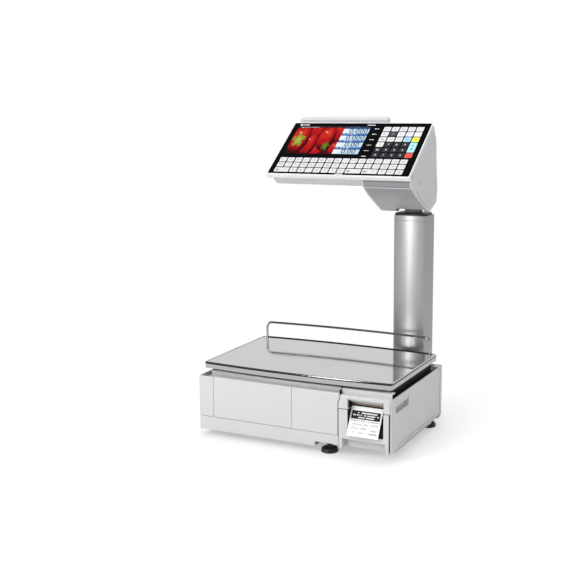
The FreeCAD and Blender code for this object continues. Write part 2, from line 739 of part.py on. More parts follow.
lintel.cut("YZ", d.mouth_left, d.mouth_right, [
    (-half_depth - 1, d.lintel_bottom - 1, 0),
    (d.throat_back + d.skin + 1, d.lintel_bottom - 1, 0),
    (d.throat_back + d.skin + 1, d.throat_top, 0),
    (d.throat_back, d.throat_top, 0),
    (-half_depth - 1, d.mouth_top + 0.5, 0),
])

# Tear bar: serrated strip hung under the back of the mouth ceiling.
tear = Piece("tear_bar")
tear.pad("XZ", d.throat_back, d.throat_back + 1, rect(
    d.mouth_left + 1, d.mouth_right - 1, d.throat_top - 4, d.throat_top))
notch = tear.cut("XZ", d.throat_back - 1, d.throat_back + 2, [
    (d.mouth_left + 2, d.throat_top - 5, 0),
    (d.mouth_left + 4, d.throat_top - 5, 0),
    (d.mouth_left + 3, d.throat_top - 3, 0),
])
tear_teeth = doc.addObject("PartDesign::LinearPattern", "tear_bar_teeth")
tear.body.addObject(tear_teeth)
tear_teeth.Originals = [notch]
tear_teeth.Direction = ([item for item in tear.body.Origin.OriginFeatures if item.Role == "X_Axis"][0], [""])
tear_teeth.Occurrences = 23
bind(tear_teeth, "Length", (d.mouth_right - d.mouth_left) - 6)
tear.body.Tip = tear_teeth

# Level bubble in the front left of the trough.
bubble = Piece("level_bubble")
bubble.pad("XY", trough_under, d.trough_top + 1, disc(-194.3, -122, 5.55))
bubble.pad("XY", d.trough_top, d.trough_top + 1.5, disc(-194.3, -122, 4.4))

# Chassis plate with the load cell seat.
plate = Piece("chassis_plate")
plate.pad("XY", floor_top, d.plate_top, rect(
    d.plate_left, d.plate_right, -d.plate_half_depth, d.plate_half_depth, 6))
plate.cut("XY", floor_top, d.plate_top, *[
    disc(x, y, d.boss_radius + 1.5) for x, y in list(feet.values())[:3]])
plate.cut("XY", floor_top, d.plate_top, rect(
    d.front_right_foot_x - 27, d.plate_right + 1, -d.plate_half_depth - 1, d.front_right_foot_y + 27))
plate.pad("XY", d.plate_top, d.cell_bottom, rect(
    d.cell_left, d.cell_left + d.cell_seat, -d.cell_half, d.cell_half, 2))

# Load cell: bending bar with two joined bores.
cell = Piece("load_cell")
cell.pad("XY", d.cell_bottom, d.cell_top, rect(d.cell_left, d.cell_right, -d.cell_half, d.cell_half))
cell_x = (d.cell_left + d.cell_right) / 2
cell_z = (d.cell_bottom + d.cell_top) / 2
cell.cut("XZ", -d.cell_half, d.cell_half,
         disc(cell_x - d.cell_bore_gap / 2, cell_z, d.cell_bore),
         disc(cell_x + d.cell_bore_gap / 2, cell_z, d.cell_bore))
cell.cut("XZ", -d.cell_half, d.cell_half, rect(
    cell_x - d.cell_bore_gap / 2, cell_x + d.cell_bore_gap / 2, cell_z - 3, cell_z + 3))

# Spider: boss on the load cell, four arms to the tray pads.
spider = Piece("spider")
spider.pad("XY", d.cell_top, d.spider_top, disc(d.boss_x, 0, d.spider_boss))
for side_x in (-1, 1):
    for side_y in (-1, 1):
        half = d.arm_half * side_x * side_y
        spider.pad("XY", d.spider_bottom, d.spider_top, [
            (d.boss_x, -half, 0),
            (d.pad_x * side_x, d.pad_y * side_y - half, 0),
            (d.pad_x * side_x + d.arm_half * side_x, d.pad_y * side_y, 0),
            (d.pad_x * side_x, d.pad_y * side_y + half, 0),
            (d.boss_x, half, 0),
        ])
spider.pad("XY", d.spider_bottom, d.spider_top, *[
    disc(d.pad_x * a, d.pad_y * b, d.arm_half) for a, b in ((-1, -1), (1, -1), (1, 1), (-1, 1))])

tray_under = d.tray_top - d.tray_sheet
for name, a, b in (("front_left", -1, -1), ("front_right", 1, -1), ("back_right", 1, 1), ("back_left", -1, 1)):
    pad = Piece("tray_pad_" + name)
    pad.turn_upright(d.pad_x * a, d.pad_y * b, [
        (0, d.spider_top, 0),
        (d.pad_radius, d.spider_top, 0),
        (d.pad_radius, tray_under, 1.5),
        (0, tray_under, 0),
    ])


# ---------------------------------------------------------------- tray

def tray_outline(inset):
    """Plan of the tray: straight ends, bowed front and back edges."""
    side = d.tray_width / 2 - inset
    front = d.tray_front + inset
    back = d.tray_back - inset
    corner = d.tray_corner - inset
    return [
        (-side, front, corner),
        (0, front - d.tray_bow, d.bow_radius),
        (side, front, corner),
        (side, back, corner),
        (0, back + d.tray_bow, d.bow_radius),
        (-side, back, corner),
    ]


tray = Piece("tray")
tray.pad("XY", d.tray_flange, d.tray_top + d.tray_rim, tray_outline(0))
tray.soften("Fillet", d.rim_round, edges_in_plane("z", d.tray_top + d.tray_rim))
tray.cut("XY", d.tray_top, d.tray_top + d.tray_rim, tray_outline(d.rim_width))
tray.cut("XY", d.tray_flange, tray_under, tray_outline(d.tray_sheet))
for a, b in ((-1, -1), (1, -1), (1, 1), (-1, 1)):
    tray.pad("XY", tray_under - 3, tray_under,
             disc(d.pad_x * a, d.pad_y * b, d.pad_radius + 3),
             disc(d.pad_x * a, d.pad_y * b, d.pad_radius + 1))
rail_end_x = d.rail_radius * sine(d.rail_angle) + d.rail_bend * cosine(d.rail_angle)
rail_end_y = d.rail_mid_y - d.rail_radius * (1 - cosine(d.rail_angle)) - d.rail_bend * sine(d.rail_angle)
tray.cut("XY", tray_under, d.tray_top + d.tray_rim,
         disc(-rail_end_x, rail_end_y, d.rail_wire), disc(rail_end_x, rail_end_y, d.rail_wire))

# Guard rail: bowed bar, two quarter bends and two upright ends.
rail_z = d.tray_top + d.rail_height
leg_top = rail_z - d.rail_bend
bar = doc.addObject("Part::Torus", "rail_bar")
bind(bar, "Radius1", d.rail_radius)
bind(bar, "Radius2", d.rail_wire)
bind(bar, "Angle3", d.rail_angle * 2)
bar.Placement = FreeCAD.Placement(
    FreeCAD.Vector(0, 0, 0), FreeCAD.Rotation(FreeCAD.Vector(0, 0, 1), 90 - d.rail_angle.value))
bind(bar, "Placement.Base.y", d.rail_mid_y - d.rail_radius)
bind(bar, "Placement.Base.z", rail_z)
bind(bar, "Placement.Rotation.Angle", 90 - d.rail_angle)
rail_parts = [bar]
for side in (-1, 1):
    heading = math.radians(d.rail_angle.value)
    outward = FreeCAD.Vector(side * math.cos(heading), -math.sin(heading), 0)
    bend = doc.addObject("Part::Torus", "rail_bend")
    bind(bend, "Radius1", d.rail_bend)
    bind(bend, "Radius2", d.rail_wire)
    bend.Angle3 = 90
    upright = FreeCAD.Vector(0, 0, 1)
    turn = FreeCAD.Rotation(outward, upright, outward.cross(upright), "XYZ")
    bend.Placement = FreeCAD.Placement(FreeCAD.Vector(0, 0, 0), turn)
    bind(bend, "Placement.Base.x", side * d.rail_radius * sine(d.rail_angle))
    bind(bend, "Placement.Base.y", d.rail_mid_y - d.rail_radius * (1 - cosine(d.rail_angle)))
    bind(bend, "Placement.Base.z", leg_top)
    leg = doc.addObject("Part::Cylinder", "rail_leg")
    bind(leg, "Radius", d.rail_wire)
    bind(leg, "Height", leg_top - tray_under)
    bind(leg, "Placement.Base.x", side * rail_end_x)
    bind(leg, "Placement.Base.y", rail_end_y)
    bind(leg, "Placement.Base.z", tray_under)
    rail_parts += [bend, leg]
rail = doc.addObject("Part::MultiFuse", "guard_rail")
rail.Label = "guard_rail"
rail.Shapes = rail_parts
rail.Refine = True

# ---------------------------------------------------------------- levelling feet

for name, (x, y) in feet.items():
    foot = Piece(name)
    foot.turn_upright(x, y, [
        (0, 0, 0),
        (d.foot_radius - 1, 0, 0),
        (d.foot_radius, 2, 0),
        (d.foot_radius - 2, d.foot_pad, 2),
        (9, d.foot_pad + 2, 0),
        (d.stud_radius, d.foot_pad + 2, 0),
        (d.stud_radius, d.stud_top, 1),
        (0, d.stud_top, 0),
    ])

# ---------------------------------------------------------------- side door

door = Piece("side_door")
door.pad("YZ", d.door_inside, half_width, [
    (front_inside - 1.5, d.door_bottom, 2),
    (d.hinge_y, d.door_bottom, 0),
    (d.hinge_y, d.door_step, 0),
    (d.door_step_y, d.door_step, 0),
    (d.door_step_y, d.door_top, 0),
    (front_inside - 1.5, d.door_top, 3),
])
door.pad("XY", d.door_bottom, d.door_step, disc(d.hinge_x, d.hinge_y, d.knuckle))
door.pad("XY", d.door_bottom, d.door_step, rect(
    d.hinge_x, half_width - 0.5, d.hinge_y - 5, d.hinge_y))
door.pad("YZ", half_width - d.grip_depth - d.skin, d.door_inside + 0.5, rect(
    d.grip_front - d.skin, d.grip_back + d.skin, d.grip_low - d.skin, d.grip_high + d.skin, 3))
door.cut("YZ", half_width - d.grip_depth, half_width + 1, rect(
    d.grip_front, d.grip_back, d.grip_low, d.grip_high, 5))
door.cut("XY", d.door_bottom, d.door_step, disc(d.hinge_x, d.hinge_y, d.hinge_pin + 0.08))
door.pad("YZ", d.door_inside - 2, d.door_inside + 0.5,
         rect(-40, -36, d.door_bottom + 4, d.door_top - 10), rect(40, 44, d.door_bottom + 4, d.door_top - 10))

pin = Piece("door_hinge_pin")
pin.turn_upright(d.hinge_x, d.hinge_y, [
    (0, d.foot_height + 0.5, 0),
    (d.hinge_pin, d.foot_height + 0.5, 0),
    (d.hinge_pin, d.trough_top + 2.5, 0.4),
    (0, d.trough_top + 2.5, 0),
])

# ---------------------------------------------------------------- column

def column_outline(inset):
    """Plan of the column: flat back, bowed front."""
    side = d.column_half - inset
    return [
        (d.column_x - side, d.column_back - inset, 4 - inset),
        (d.column_x - side, d.column_shoulder + inset * 0.8, 9 - inset),
        (d.column_x, d.column_crown + inset * 1.04, d.crown_radius - inset),
        (d.column_x + side, d.column_shoulder + inset * 0.8, 9 - inset),
        (d.column_x + side, d.column_back - inset, 4 - inset),
    ]


column = Piece("column")
column.pad("XY", d.column_bottom, d.column_top, column_outline(0))
column.cut("XY", d.column_bottom, d.column_top, column_outline(d.column_wall))
for side in (-1, 1):
    column.cut("XY", d.column_bottom, d.column_top, rect(
        d.column_x + side * (d.column_half - 7) - 0.6, d.column_x + side * (d.column_half - 7) + 0.6,
        d.column_back - 1, d.column_back + 1))
column.cut("XZ", d.column_crown, d.column_shoulder + 10,
           disc(d.column_x, d.bolt_low, d.bolt_radius + 0.3),
           disc(d.column_x, d.bolt_high, d.bolt_radius + 0.3))

saddle = Piece("column_saddle")
saddle.pad("XY", d.saddle_bottom, d.saddle_top, rect(
    d.column_x - d.saddle_half, d.column_x + d.saddle_half, half_depth, d.column_shoulder + 3, 1))
saddle.cut("XY", d.saddle_bottom, d.saddle_top, column_outline(0))
saddle.cut("XZ", half_depth - 1, d.column_shoulder + 5,
           disc(d.column_x, d.bolt_low, d.bolt_radius + 0.3),
           disc(d.column_x, d.bolt_high, d.bolt_radius + 0.3))

base_cap = Piece("column_base_cap")
base_cap.pad("XY", d.column_bottom - 3, d.column_bottom, column_outline(0))
base_cap.pad("XY", d.column_bottom - 1, d.column_bottom + 8, column_outline(d.column_wall + 0.1))

top_cap = Piece("column_top_cap")
top_cap.pad("XY", d.column_top + 0.3, d.cap_top, column_outline(0))
top_cap.pad("XY", d.column_top - 12, d.column_top + 1, column_outline(d.column_wall + 0.1))
top_cap.cut("XY", d.column_top - 13, d.cap_top + 1, rect(
    d.column_x - d.tongue_half, d.column_x + d.tongue_half,
    d.tilt_y - d.tongue_thick, d.tilt_y + d.tongue_thick))

for name, height in (("column_bolt_low", d.bolt_low), ("column_bolt_high", d.bolt_high)):
    bolt = Piece(name)
    bolt.pad("XZ", half_depth - 20, half_depth + 18, disc(d.column_x, height, d.bolt_radius))
    bolt.pad("XZ", half_depth + 5, half_depth + 10, disc(d.column_x, height, d.bolt_radius + 3))
    bolt.pad("XZ", rear_inside - 6, rear_inside, disc(d.column_x, height, d.bolt_radius + 3))

# Tilt bracket: tongue standing out of the column cap.
tongue = Piece("tilt_bracket")
tongue.pad("YZ", d.column_x - d.tongue_half, d.column_x + d.tongue_half, [
    (d.tilt_y - d.tongue_thick, d.tongue_bottom, 0),
    (d.tilt_y + d.tongue_thick, d.tongue_bottom, 0),
    (d.tilt_y + d.tongue_thick, d.tilt_z + d.tongue_thick, d.tongue_thick - 0.2),
    (d.tilt_y - d.tongue_thick, d.tilt_z + d.tongue_thick, d.tongue_thick - 0.2),
])
tongue.cut("YZ", d.column_x - d.tongue_half, d.column_x + d.tongue_half, disc(
    d.tilt_y, d.tilt_z, d.tilt_pin + d.tilt_gap))

# ---------------------------------------------------------------- electronics in the base

supply = Piece("power_supply")
supply.pad("XY", d.plate_top, d.plate_top + 35, rect(-140, -40, -115, -45, 2))
supply.cut("XY", d.plate_top + 33, d.plate_top + 36, *[
    rect(-132 + 12 * i, -126 + 12 * i, -106, -54, 2) for i in range(8)])

board = Piece("main_board")
board.pad("XY", d.board_z, d.board_z + 1.6, rect(-150, 60, 40, 120, 3))
board.pad("XY", d.plate_top, d.board_z, disc(-144, 46, 3), disc(54, 46, 3), disc(-144, 114, 3), disc(54, 114, 3))
board.pad("XY", d.board_z + 1.6, d.board_z + 5, rect(-60, -32, 62, 90), rect(-10, 8, 60, 78), rect(-110, -90, 66, 86))
board.pad("XY", d.board_z + 1.6, d.board_z + 14, rect(20, 34, 96, 112), rect(-132, -118, 48, 62))

inlet = Piece("power_inlet")
inlet.pad("XZ", half_depth - 22, half_depth, rect(
    d.inlet_x - 24.5, d.inlet_x + 24.5, d.socket_z - 12.5, d.socket_z + 12.5, 3))
inlet.pad("XZ", half_depth, half_depth + 2.5, rect(
    d.inlet_x - 30, d.inlet_x + 30, d.socket_z - 15.5, d.socket_z + 15.5, 4))
inlet.cut("XZ", half_depth - 16, half_depth + 3, rect(
    d.inlet_x - 12, d.inlet_x + 12, d.socket_z - 8, d.socket_z + 8, 4))
for offset in (-7, 0, 7):
    inlet.pad("XZ", half_depth - 17, half_depth - 2, rect(
        d.inlet_x + offset - 1, d.inlet_x + offset + 1, d.socket_z - 3, d.socket_z + 3))

ports = Piece("connector_panel")
ports.pad("XZ", rear_inside - 1, half_depth - 0.5, rect(-83.8, 39.8, 34.2, 61.8, 2))
ports.pad("XZ", half_depth - 19, rear_inside - 1, rect(-76, 32, 38, 58))
ports.cut("XZ", half_depth - 15, half_depth,
          rect(-72, -56, 41, 54), rect(-50, -34, 41, 54), rect(-28, -14, 44, 50), rect(-10, 4, 44, 50))
ports.cut("XZ", half_depth - 6, half_depth, rect(10, 28, 43, 52, 2))

switch = Piece("power_switch")
switch.pad("YZ", d.switch_x - 6.3, d.switch_x + 6.3, [
    (d.switch_y - 3, d.socket_z - 8.8, 0),
    (d.switch_y + 4.2, d.socket_z - 8.8, 1),
    (d.switch_y + 4.4, d.socket_z - 0.5, 6),
    (d.switch_y + 6.8, d.socket_z + 7.8, 1),
    (d.switch_y - 3, d.socket_z + 7.8, 0),
])
switch.pad("YZ", d.switch_x - 6.3, d.switch_x + 6.3, disc(d.switch_y, d.socket_z, d.rocker_barrel))

# ---------------------------------------------------------------- label printer

# Front face with the label chute and the finger notch.
face = Piece("cassette_front")
face_left = d.bay_left + d.seam
face.pad("XZ", -half_depth, d.skin - half_depth, [
    (face_left, d.cassette_bottom, 0),
    (d.notch_left, d.cassette_bottom, 0),
    (d.notch_left, d.notch_top, 0),
    (d.notch_right, d.notch_top, 0),
    (d.notch_right, d.cassette_bottom, 0),
    (d.bay_right, d.cassette_bottom, 0),
    (d.bay_right, d.face_top, 0),
    (d.mouth_right, d.face_top, 0),
    (d.mouth_right, d.chute_foot, 2),
    (d.mouth_left, d.chute_foot, 2),
    (d.mouth_left, d.face_top, 0),
    (face_left, d.face_top, 0),
])
face.pad("XY", d.cassette_bottom, d.face_top,
         rect(face_left, face_left + d.skin, -half_depth, d.cassette_front_y - 2),
         rect(d.bay_right - d.skin, d.bay_right, -half_depth, d.cassette_front_y - 3))
face.pad("YZ", d.mouth_left - d.skin, d.mouth_right + d.skin, [
    (-half_depth, d.chute_foot, 0),
    (-half_depth, d.chute_foot - d.skin, 0),
    (d.skin - half_depth, d.chute_foot - d.skin, 0),
    (d.throat_back + d.skin, d.face_top, 0),
    (d.throat_back, d.face_top, 0),
])
face.pad("YZ", d.mouth_left - d.skin, d.mouth_left, [
    (-half_depth, d.chute_foot, 0), (d.throat_back + 1, d.face_top, 0), (-half_depth, d.face_top, 0)])
face.pad("YZ", d.mouth_right, d.mouth_right + d.skin, [
    (-half_depth, d.chute_foot, 0), (d.throat_back + 1, d.face_top, 0), (-half_depth, d.face_top, 0)])
face.pad("YZ", d.notch_left - d.skin, d.notch_right + d.skin, [
    (d.notch_back, d.cassette_bottom, 0),
    (d.notch_back + d.skin, d.cassette_bottom, 0),
    (d.notch_back + d.skin, d.notch_top + d.skin, 0),
    (1 - half_depth, d.notch_top + d.skin, 0),
    (1 - half_depth, d.notch_top, 0),
    (d.notch_back, d.notch_top, 0),
])
face.pad("XY", d.cassette_bottom, d.notch_top,
         rect(d.notch_left - d.skin, d.notch_left, 1 - half_depth, d.notch_back + 1),
         rect(d.notch_right, d.notch_right + d.skin, 1 - half_depth, d.notch_back + 1))

# Sheet frame: floor, two side plates and the motor stand.
frame = Piece("cassette_frame")
frame.pad("XY", d.cassette_bottom, d.cassette_bottom + d.sheet, rect(
    d.cassette_left, d.cassette_right, d.notch_back + d.skin, d.cassette_back))
frame.pad("XY", d.cassette_bottom + d.sheet, d.cassette_top,
          rect(d.cassette_left, d.cassette_left + d.sheet, d.cassette_front_y, d.cassette_back),
          rect(d.cassette_right - d.sheet, d.cassette_right, d.cassette_front_y, d.cassette_back))
frame.cut("YZ", d.cassette_right - d.sheet - 1, d.cassette_right, rect(
    d.roll_y - d.roll_radius - 3, d.roll_y + d.roll_radius + 3, d.roll_z - d.roll_radius - 1,
    d.cassette_top + 1, 0))
frame.cut("YZ", d.cassette_left, d.cassette_right,
          disc(d.platen_y, d.platen_z, d.journal + d.journal_gap),
          disc(d.spool_y, d.spool_z, d.journal + d.journal_gap),
          disc(d.head_y, d.head_z, d.head_pin + d.journal_gap))
frame.pad("XY", d.cassette_bottom + d.sheet, d.motor_z - d.motor_half, rect(
    d.motor_left + 3, d.motor_right - 1, d.platen_y - 8, d.platen_y + 8))

spindle = Piece("roll_spindle")
spindle.turn_across(d.roll_y, d.roll_z, [
    (d.cassette_left + d.sheet, 0, 0),
    (d.cassette_left + d.sheet, 22, 0),
    (d.cassette_left + d.sheet + 2, 22, 0),
    (d.cassette_left + d.sheet + 2, d.core_radius - 0.1, 0),
    (d.label_right + 2, d.core_radius - 0.1, 1),
    (d.label_right + 2, 0, 0),
])

roll = Piece("label_roll")
roll.turn_across(d.roll_y, d.roll_z, [
    (d.label_left, d.core_radius, 0),
    (d.label_right, d.core_radius, 0),
    (d.label_right, d.roll_radius, 0.5),
    (d.label_left, d.roll_radius, 0.5),
])

spool = Piece("takeup_spool")
shaft_left = d.cassette_left + 0.2
shaft_right = d.cassette_right - 0.2
plate_left_in = d.cassette_left + d.sheet + 0.5
plate_right_in = d.cassette_right - d.sheet - 0.5
spool.turn_across(d.spool_y, d.spool_z, [
    (shaft_left, 0, 0),
    (shaft_left, d.journal, 0),
    (plate_left_in, d.journal, 0),
    (plate_left_in, 5, 0),
    (d.label_left - 3, 5, 0),
    (d.label_left - 3, d.spool_radius + 5, 0),
    (d.label_left - 1, d.spool_radius + 5, 0),
    (d.label_left - 1, d.spool_radius, 0),
    (d.label_right, d.spool_radius, 0),
    (d.label_right, 5, 0),
    (plate_right_in, 5, 0),
    (plate_right_in, d.journal, 0),
    (shaft_right, d.journal, 0),
    (shaft_right, 0, 0),
])

platen = Piece("platen_roller")
platen.turn_across(d.platen_y, d.platen_z, [
    (shaft_left, 0, 0),
    (shaft_left, d.journal, 0),
    (d.pulley_left, d.journal, 0),
    (d.pulley_left, d.pulley, 0),
    (d.pulley_right, d.pulley, 0),
    (d.pulley_right, d.journal, 0),
    (d.label_left - 2, d.journal, 0),
    (d.label_left - 2, d.platen_radius, 0),
    (d.label_right + 1.5, d.platen_radius, 0),
    (d.label_right + 1.5, d.journal, 0),
    (shaft_right, d.journal, 0),
    (shaft_right, 0, 0),
])

motor = Piece("feed_motor")
motor.pad("YZ", d.motor_left, d.motor_right, rect(
    d.platen_y - d.motor_half, d.platen_y + d.motor_half,
    d.motor_z - d.motor_half, d.motor_z + d.motor_half, 4))
motor.cut("YZ", d.motor_left, d.motor_left + 8, disc(d.platen_y, d.motor_z, 1.6))
motor.cut("YZ", d.motor_left, d.motor_left + 1, *[
    disc(d.platen_y + a, d.motor_z + b, 1.2) for a, b in ((-9, -9), (9, -9), (9, 9), (-9, 9))])

pulley = Piece("motor_pulley")
pulley.turn_across(d.platen_y, d.motor_z, [
    (d.pulley_left, 0, 0),
    (d.pulley_left, d.pulley, 0),
    (d.pulley_right, d.pulley, 0),
    (d.pulley_right, 1.5, 0),
    (d.motor_left + 7, 1.5, 0),
    (d.motor_left + 7, 0, 0),
])

belt = Piece("drive_belt")
belt_in = d.pulley + 0.05
belt_out = d.pulley + 1.2
belt.pad("YZ", d.pulley_left + 0.3, d.pulley_right - 0.3, rect(
    d.platen_y - belt_out, d.platen_y + belt_out, d.motor_z - belt_out, d.platen_z + belt_out, belt_out - 0.05))
belt.cut("YZ", d.pulley_left, d.pulley_right, rect(
    d.platen_y - belt_in, d.platen_y + belt_in, d.motor_z - belt_in, d.platen_z + belt_in, belt_in - 0.01))

head = Piece("print_head")
head.pad("YZ", d.label_left + 1, d.label_right - 1, [
    (d.platen_y - 9, d.platen_z + d.platen_radius + 0.1, 0),
    (d.platen_y + 11, d.platen_z + d.platen_radius + 0.1, 0),
    (d.head_y - 4, d.head_z - 3, 0),
    (d.head_y + 4, d.head_z - 3, 2),
    (d.head_y + 4, d.head_z + 4, 2),
    (d.head_y - 8, d.head_z + 7, 0),
    (d.platen_y - 9, d.head_z + 6.5, 0),
])
head.pad("YZ", shaft_left, shaft_right, disc(d.head_y, d.head_z, d.head_pin))
head.cut("XY", d.head_z + 5, d.head_z + 9, *[
    rect(d.label_left + 5 + 8 * i, d.label_left + 8 + 8 * i, d.platen_y - 6, d.platen_y + 10) for i in range(7)])

label = Piece("printed_label")
label.pad("YZ", d.label_left, d.label_right, [
    (d.throat_back + 3.6, d.face_top + 0.3, 0),
    (d.throat_back - 0.5, d.face_top + 3.3, 0),
    (d.label_tip_y, d.label_tip_z, 0),
    (d.label_tip_y - 0.26, d.label_tip_z + 0.15, 0),
    (d.throat_back - 0.65, d.face_top + 3.8, 1),
    (d.throat_back + 3.6, d.face_top + 0.7, 0),
])


# ---------------------------------------------------------------- console

def slope(along, above):
    """Y and Z of a point on the sloping panel's own measure."""
    return (
        d.nose_y + along * cosine(d.console_tilt) - above * sine(d.console_tilt),
        d.nose_z + along * sine(d.console_tilt) + above * cosine(d.console_tilt),
    )


def on_slope(name):
    """A piece whose Y runs up the panel and whose Z stands out of it."""
    return Piece(name).lean(d.nose_y, d.nose_z, d.console_tilt)


panel = on_slope("console_frame")
panel.pad("XY", -d.nose_thick, 0, rect(d.console_left, d.console_right, 0, d.nose_depth))
panel.pad("XY", -d.frame_thick, 0, rect(d.console_left, d.console_right, 1, d.panel_length, 0))
panel.soften("Fillet", 4, edge_along("x", y=0))
panel.soften("Fillet", 4, edge_along("z", y=d.panel_length))
panel.cut("XY", -d.overlay_seat, 1, rect(
    d.console_left + d.overlay_edge, d.console_right - d.overlay_edge,
    d.overlay_edge + 0.3, d.panel_length - d.overlay_edge, 3))
panel.cut("XY", -d.frame_thick - 1, 1, rect(
    d.screen_left + 2, d.screen_right - 2, d.screen_low + 2, d.screen_high - 2))
panel.pad("XY", -d.frame_thick - 5, -d.frame_thick + 1,
          disc(d.pan_left + 8, 30, 3), disc(d.hump_left - 8, 30, 3), disc(d.pan_left + 8, 60, 3))

overlay = on_slope("keyboard_overlay")
overlay.pad("XY", -d.overlay_seat, -d.key_rise, rect(
    d.console_left + d.overlay_edge + 0.1, d.console_right - d.overlay_edge - 0.1,
    d.overlay_edge + 0.4, d.panel_length - d.overlay_edge - 0.1, 2.9))
overlay.cut("XY", -d.overlay_seat, 0, rect(d.screen_left, d.screen_right, d.screen_low, d.screen_high))
low_key = overlay.pad("XY", -d.key_rise - 0.1, 0, rect(
    d.keys_left + d.key_gap / 2, d.keys_left + d.key_column - d.key_gap / 2,
    d.keys_low + d.key_gap / 2, d.keys_low + d.key_row - d.key_gap / 2))
overlay.repeat(low_key, ("X_Axis", d.key_column, 16), ("Y_Axis", d.key_row, 3))
pad_key = overlay.pad("XY", -d.key_rise - 0.1, 0, rect(
    d.keypad_left + d.key_gap / 2, d.keypad_left + d.pad_column - d.key_gap / 2,
    d.keypad_low + d.key_gap / 2, d.keypad_low + d.pad_row - d.key_gap / 2))
overlay.repeat(pad_key, ("X_Axis", d.pad_column, 5), ("Y_Axis", d.pad_row, 6))
# double keys: three wide ones in the lowest row and the tall one on the right
overlay.pad("XY", -d.key_rise - 0.1, 0, *[
    rect(d.keys_left + d.key_column * (place + 0.5), d.keys_left + d.key_column * (place + 1.5),
         d.keys_low + d.key_gap / 2, d.keys_low + d.key_row - d.key_gap / 2)
    for place in (0, 9, 11)])
overlay.pad("XY", -d.key_rise - 0.1, 0, rect(
    d.keypad_left + d.pad_column * 4 + d.key_gap / 2, d.keypad_left + d.pad_column * 5 - d.key_gap / 2,
    d.keypad_low + d.pad_row * 1.5, d.keypad_low + d.pad_row * 2.5))

screen = on_slope("operator_screen")
screen.pad("XY", -d.screen_depth, -d.overlay_seat, rect(
    d.screen_left + 2.1, d.screen_right - 2.1, d.screen_low + 2.1, d.screen_high - 2.1))
screen.pad("XY", -d.overlay_seat, -d.key_rise, rect(
    d.screen_left + 0.1, d.screen_right - 0.1, d.screen_low + 0.1, d.screen_high - 0.1))

under = -d.frame_thick
pan = Piece("console_pan")
pan.pad("YZ", d.pan_left, d.hump_left - 0.2, [
    slope(16, under) + (0,),
    (58.3, 497.5, 4),
    (78, 487.3, 30),
    (102, 489, 25),
    (122, 504, 20),
    (134, 548, 20),
    slope(122, under - 16) + (20,),
    slope(160, under - 8) + (3,),
    slope(163, under) + (0,),
])
pan.cut("YZ", d.pan_left + 2.5, d.hump_left + 1, [
    slope(18.6, under + 1) + (0,),
    (61, 499.2, 2),
    (79, 489.9, 27),
    (100.6, 491.6, 22),
    (119.6, 505.8, 17),
    (131.8, 549.3, 20),
    slope(121, under - 13.5) + (20,),
    slope(157.5, under - 5.5) + (1,),
    slope(160.5, under + 1) + (0,),
])


def hump_outline():
    """Side outline of the electronics hump."""
    return [
        (50.4, 499.8, 0),
        (54.7, 490, 6),
        (80.7, 472, 60),
        (128.7, 446, 30),
        (157.7, 431, 8),
        (201.7, 450, 7),
        (206.5, 478, 30),
        (198.7, 526, 80),
        (196, 574, 50),
        slope(166, under) + (0,),
        slope(16, under) + (0,),
        (58.7, 506.2, 0),
    ]


shell = Piece("hump_shell")
shell.pad("YZ", d.hump_left + d.cheek, d.console_right - d.cheek, hump_outline())
shell.cut("YZ", d.hump_left, d.console_right, [
    (57.2, 492, 4),
    (81.8, 474.6, 57),
    (129.7, 448.7, 27),
    (157.9, 434, 5.5),
    (199.4, 452.2, 4.5),
    (203.9, 478, 27),
    (196.2, 526, 77),
    (193.5, 573.2, 47),
    slope(163, under + 1) + (0,),
    slope(20, under + 1) + (0,),
    (61.5, 505, 0),
])
shell.cut("XY", 425, 470, rect(
    d.column_x - 30, d.column_x + 30, d.tilt_y - 24, d.tilt_y + 24, 4))

for name, start in (("left_cheek", d.hump_left), ("right_cheek", d.console_right - d.cheek)):
    side_plate = Piece(name)
    side_plate.pad("YZ", start, start + d.cheek, hump_outline())

bracket = Piece("console_bracket")
for side in (-1, 1):
    inner = d.column_x + side * d.lug_inner
    outer = d.column_x + side * d.lug_outer
    low, high = (outer, inner) if side < 0 else (inner, outer)
    bracket.pad("YZ", low, high, [
        (d.tilt_y - 9, d.tilt_z - 8, 7),
        (d.tilt_y + 9, d.tilt_z - 8, 7),
        (d.tilt_y + 9, d.tilt_z + 30, 0),
        slope(140, under) + (0,),
        slope(110, under) + (0,),
        (d.tilt_y - 18, d.tilt_z + 30, 0),
    ])
bracket.pad("YZ", d.column_x - d.lug_outer, d.column_x + d.lug_outer, [
    slope(110, under - 4) + (0,),
    slope(140, under - 4) + (0,),
    slope(140, under) + (0,),
    slope(110, under) + (0,),
])
bracket.cut("YZ", d.column_x - d.lug_outer, d.column_x + d.lug_outer, disc(
    d.tilt_y, d.tilt_z, d.tilt_pin + 0.02))

tilt_pin = Piece("tilt_pin")
tilt_pin.turn_across(d.tilt_y, d.tilt_z, [
    (d.column_x - d.lug_outer - 3, 0, 0),
    (d.column_x - d.lug_outer - 3, 6, 1),
    (d.column_x - d.lug_outer, 6, 0),
    (d.column_x - d.lug_outer, d.tilt_pin, 0),
    (d.column_x + d.lug_outer + 3, d.tilt_pin, 1),
    (d.column_x + d.lug_outer + 3, 0, 0),
])

# ---------------------------------------------------------------- customer display

hub = Piece("drum_hub")
hub.turn_across(d.pivot_y, d.pivot_z, [
    (d.drum_left + 4, 0, 0),
    (d.drum_left + 4, d.spindle, 0),
    (d.drum_split, d.spindle, 0),
    (d.drum_split, d.drum_radius, 0),
    (d.hump_left, d.drum_radius, 0),
    (d.hump_left, d.drum_radius - 3, 0),
    (d.drum_split + 3, d.drum_radius - 3, 0),
    (d.drum_split + 3, 0, 0),
])


def on_display(name):
    """A piece whose Y stands out of the display and whose Z runs up it."""
    return Piece(name).lean(d.pivot_y, d.pivot_z, d.display_lean)


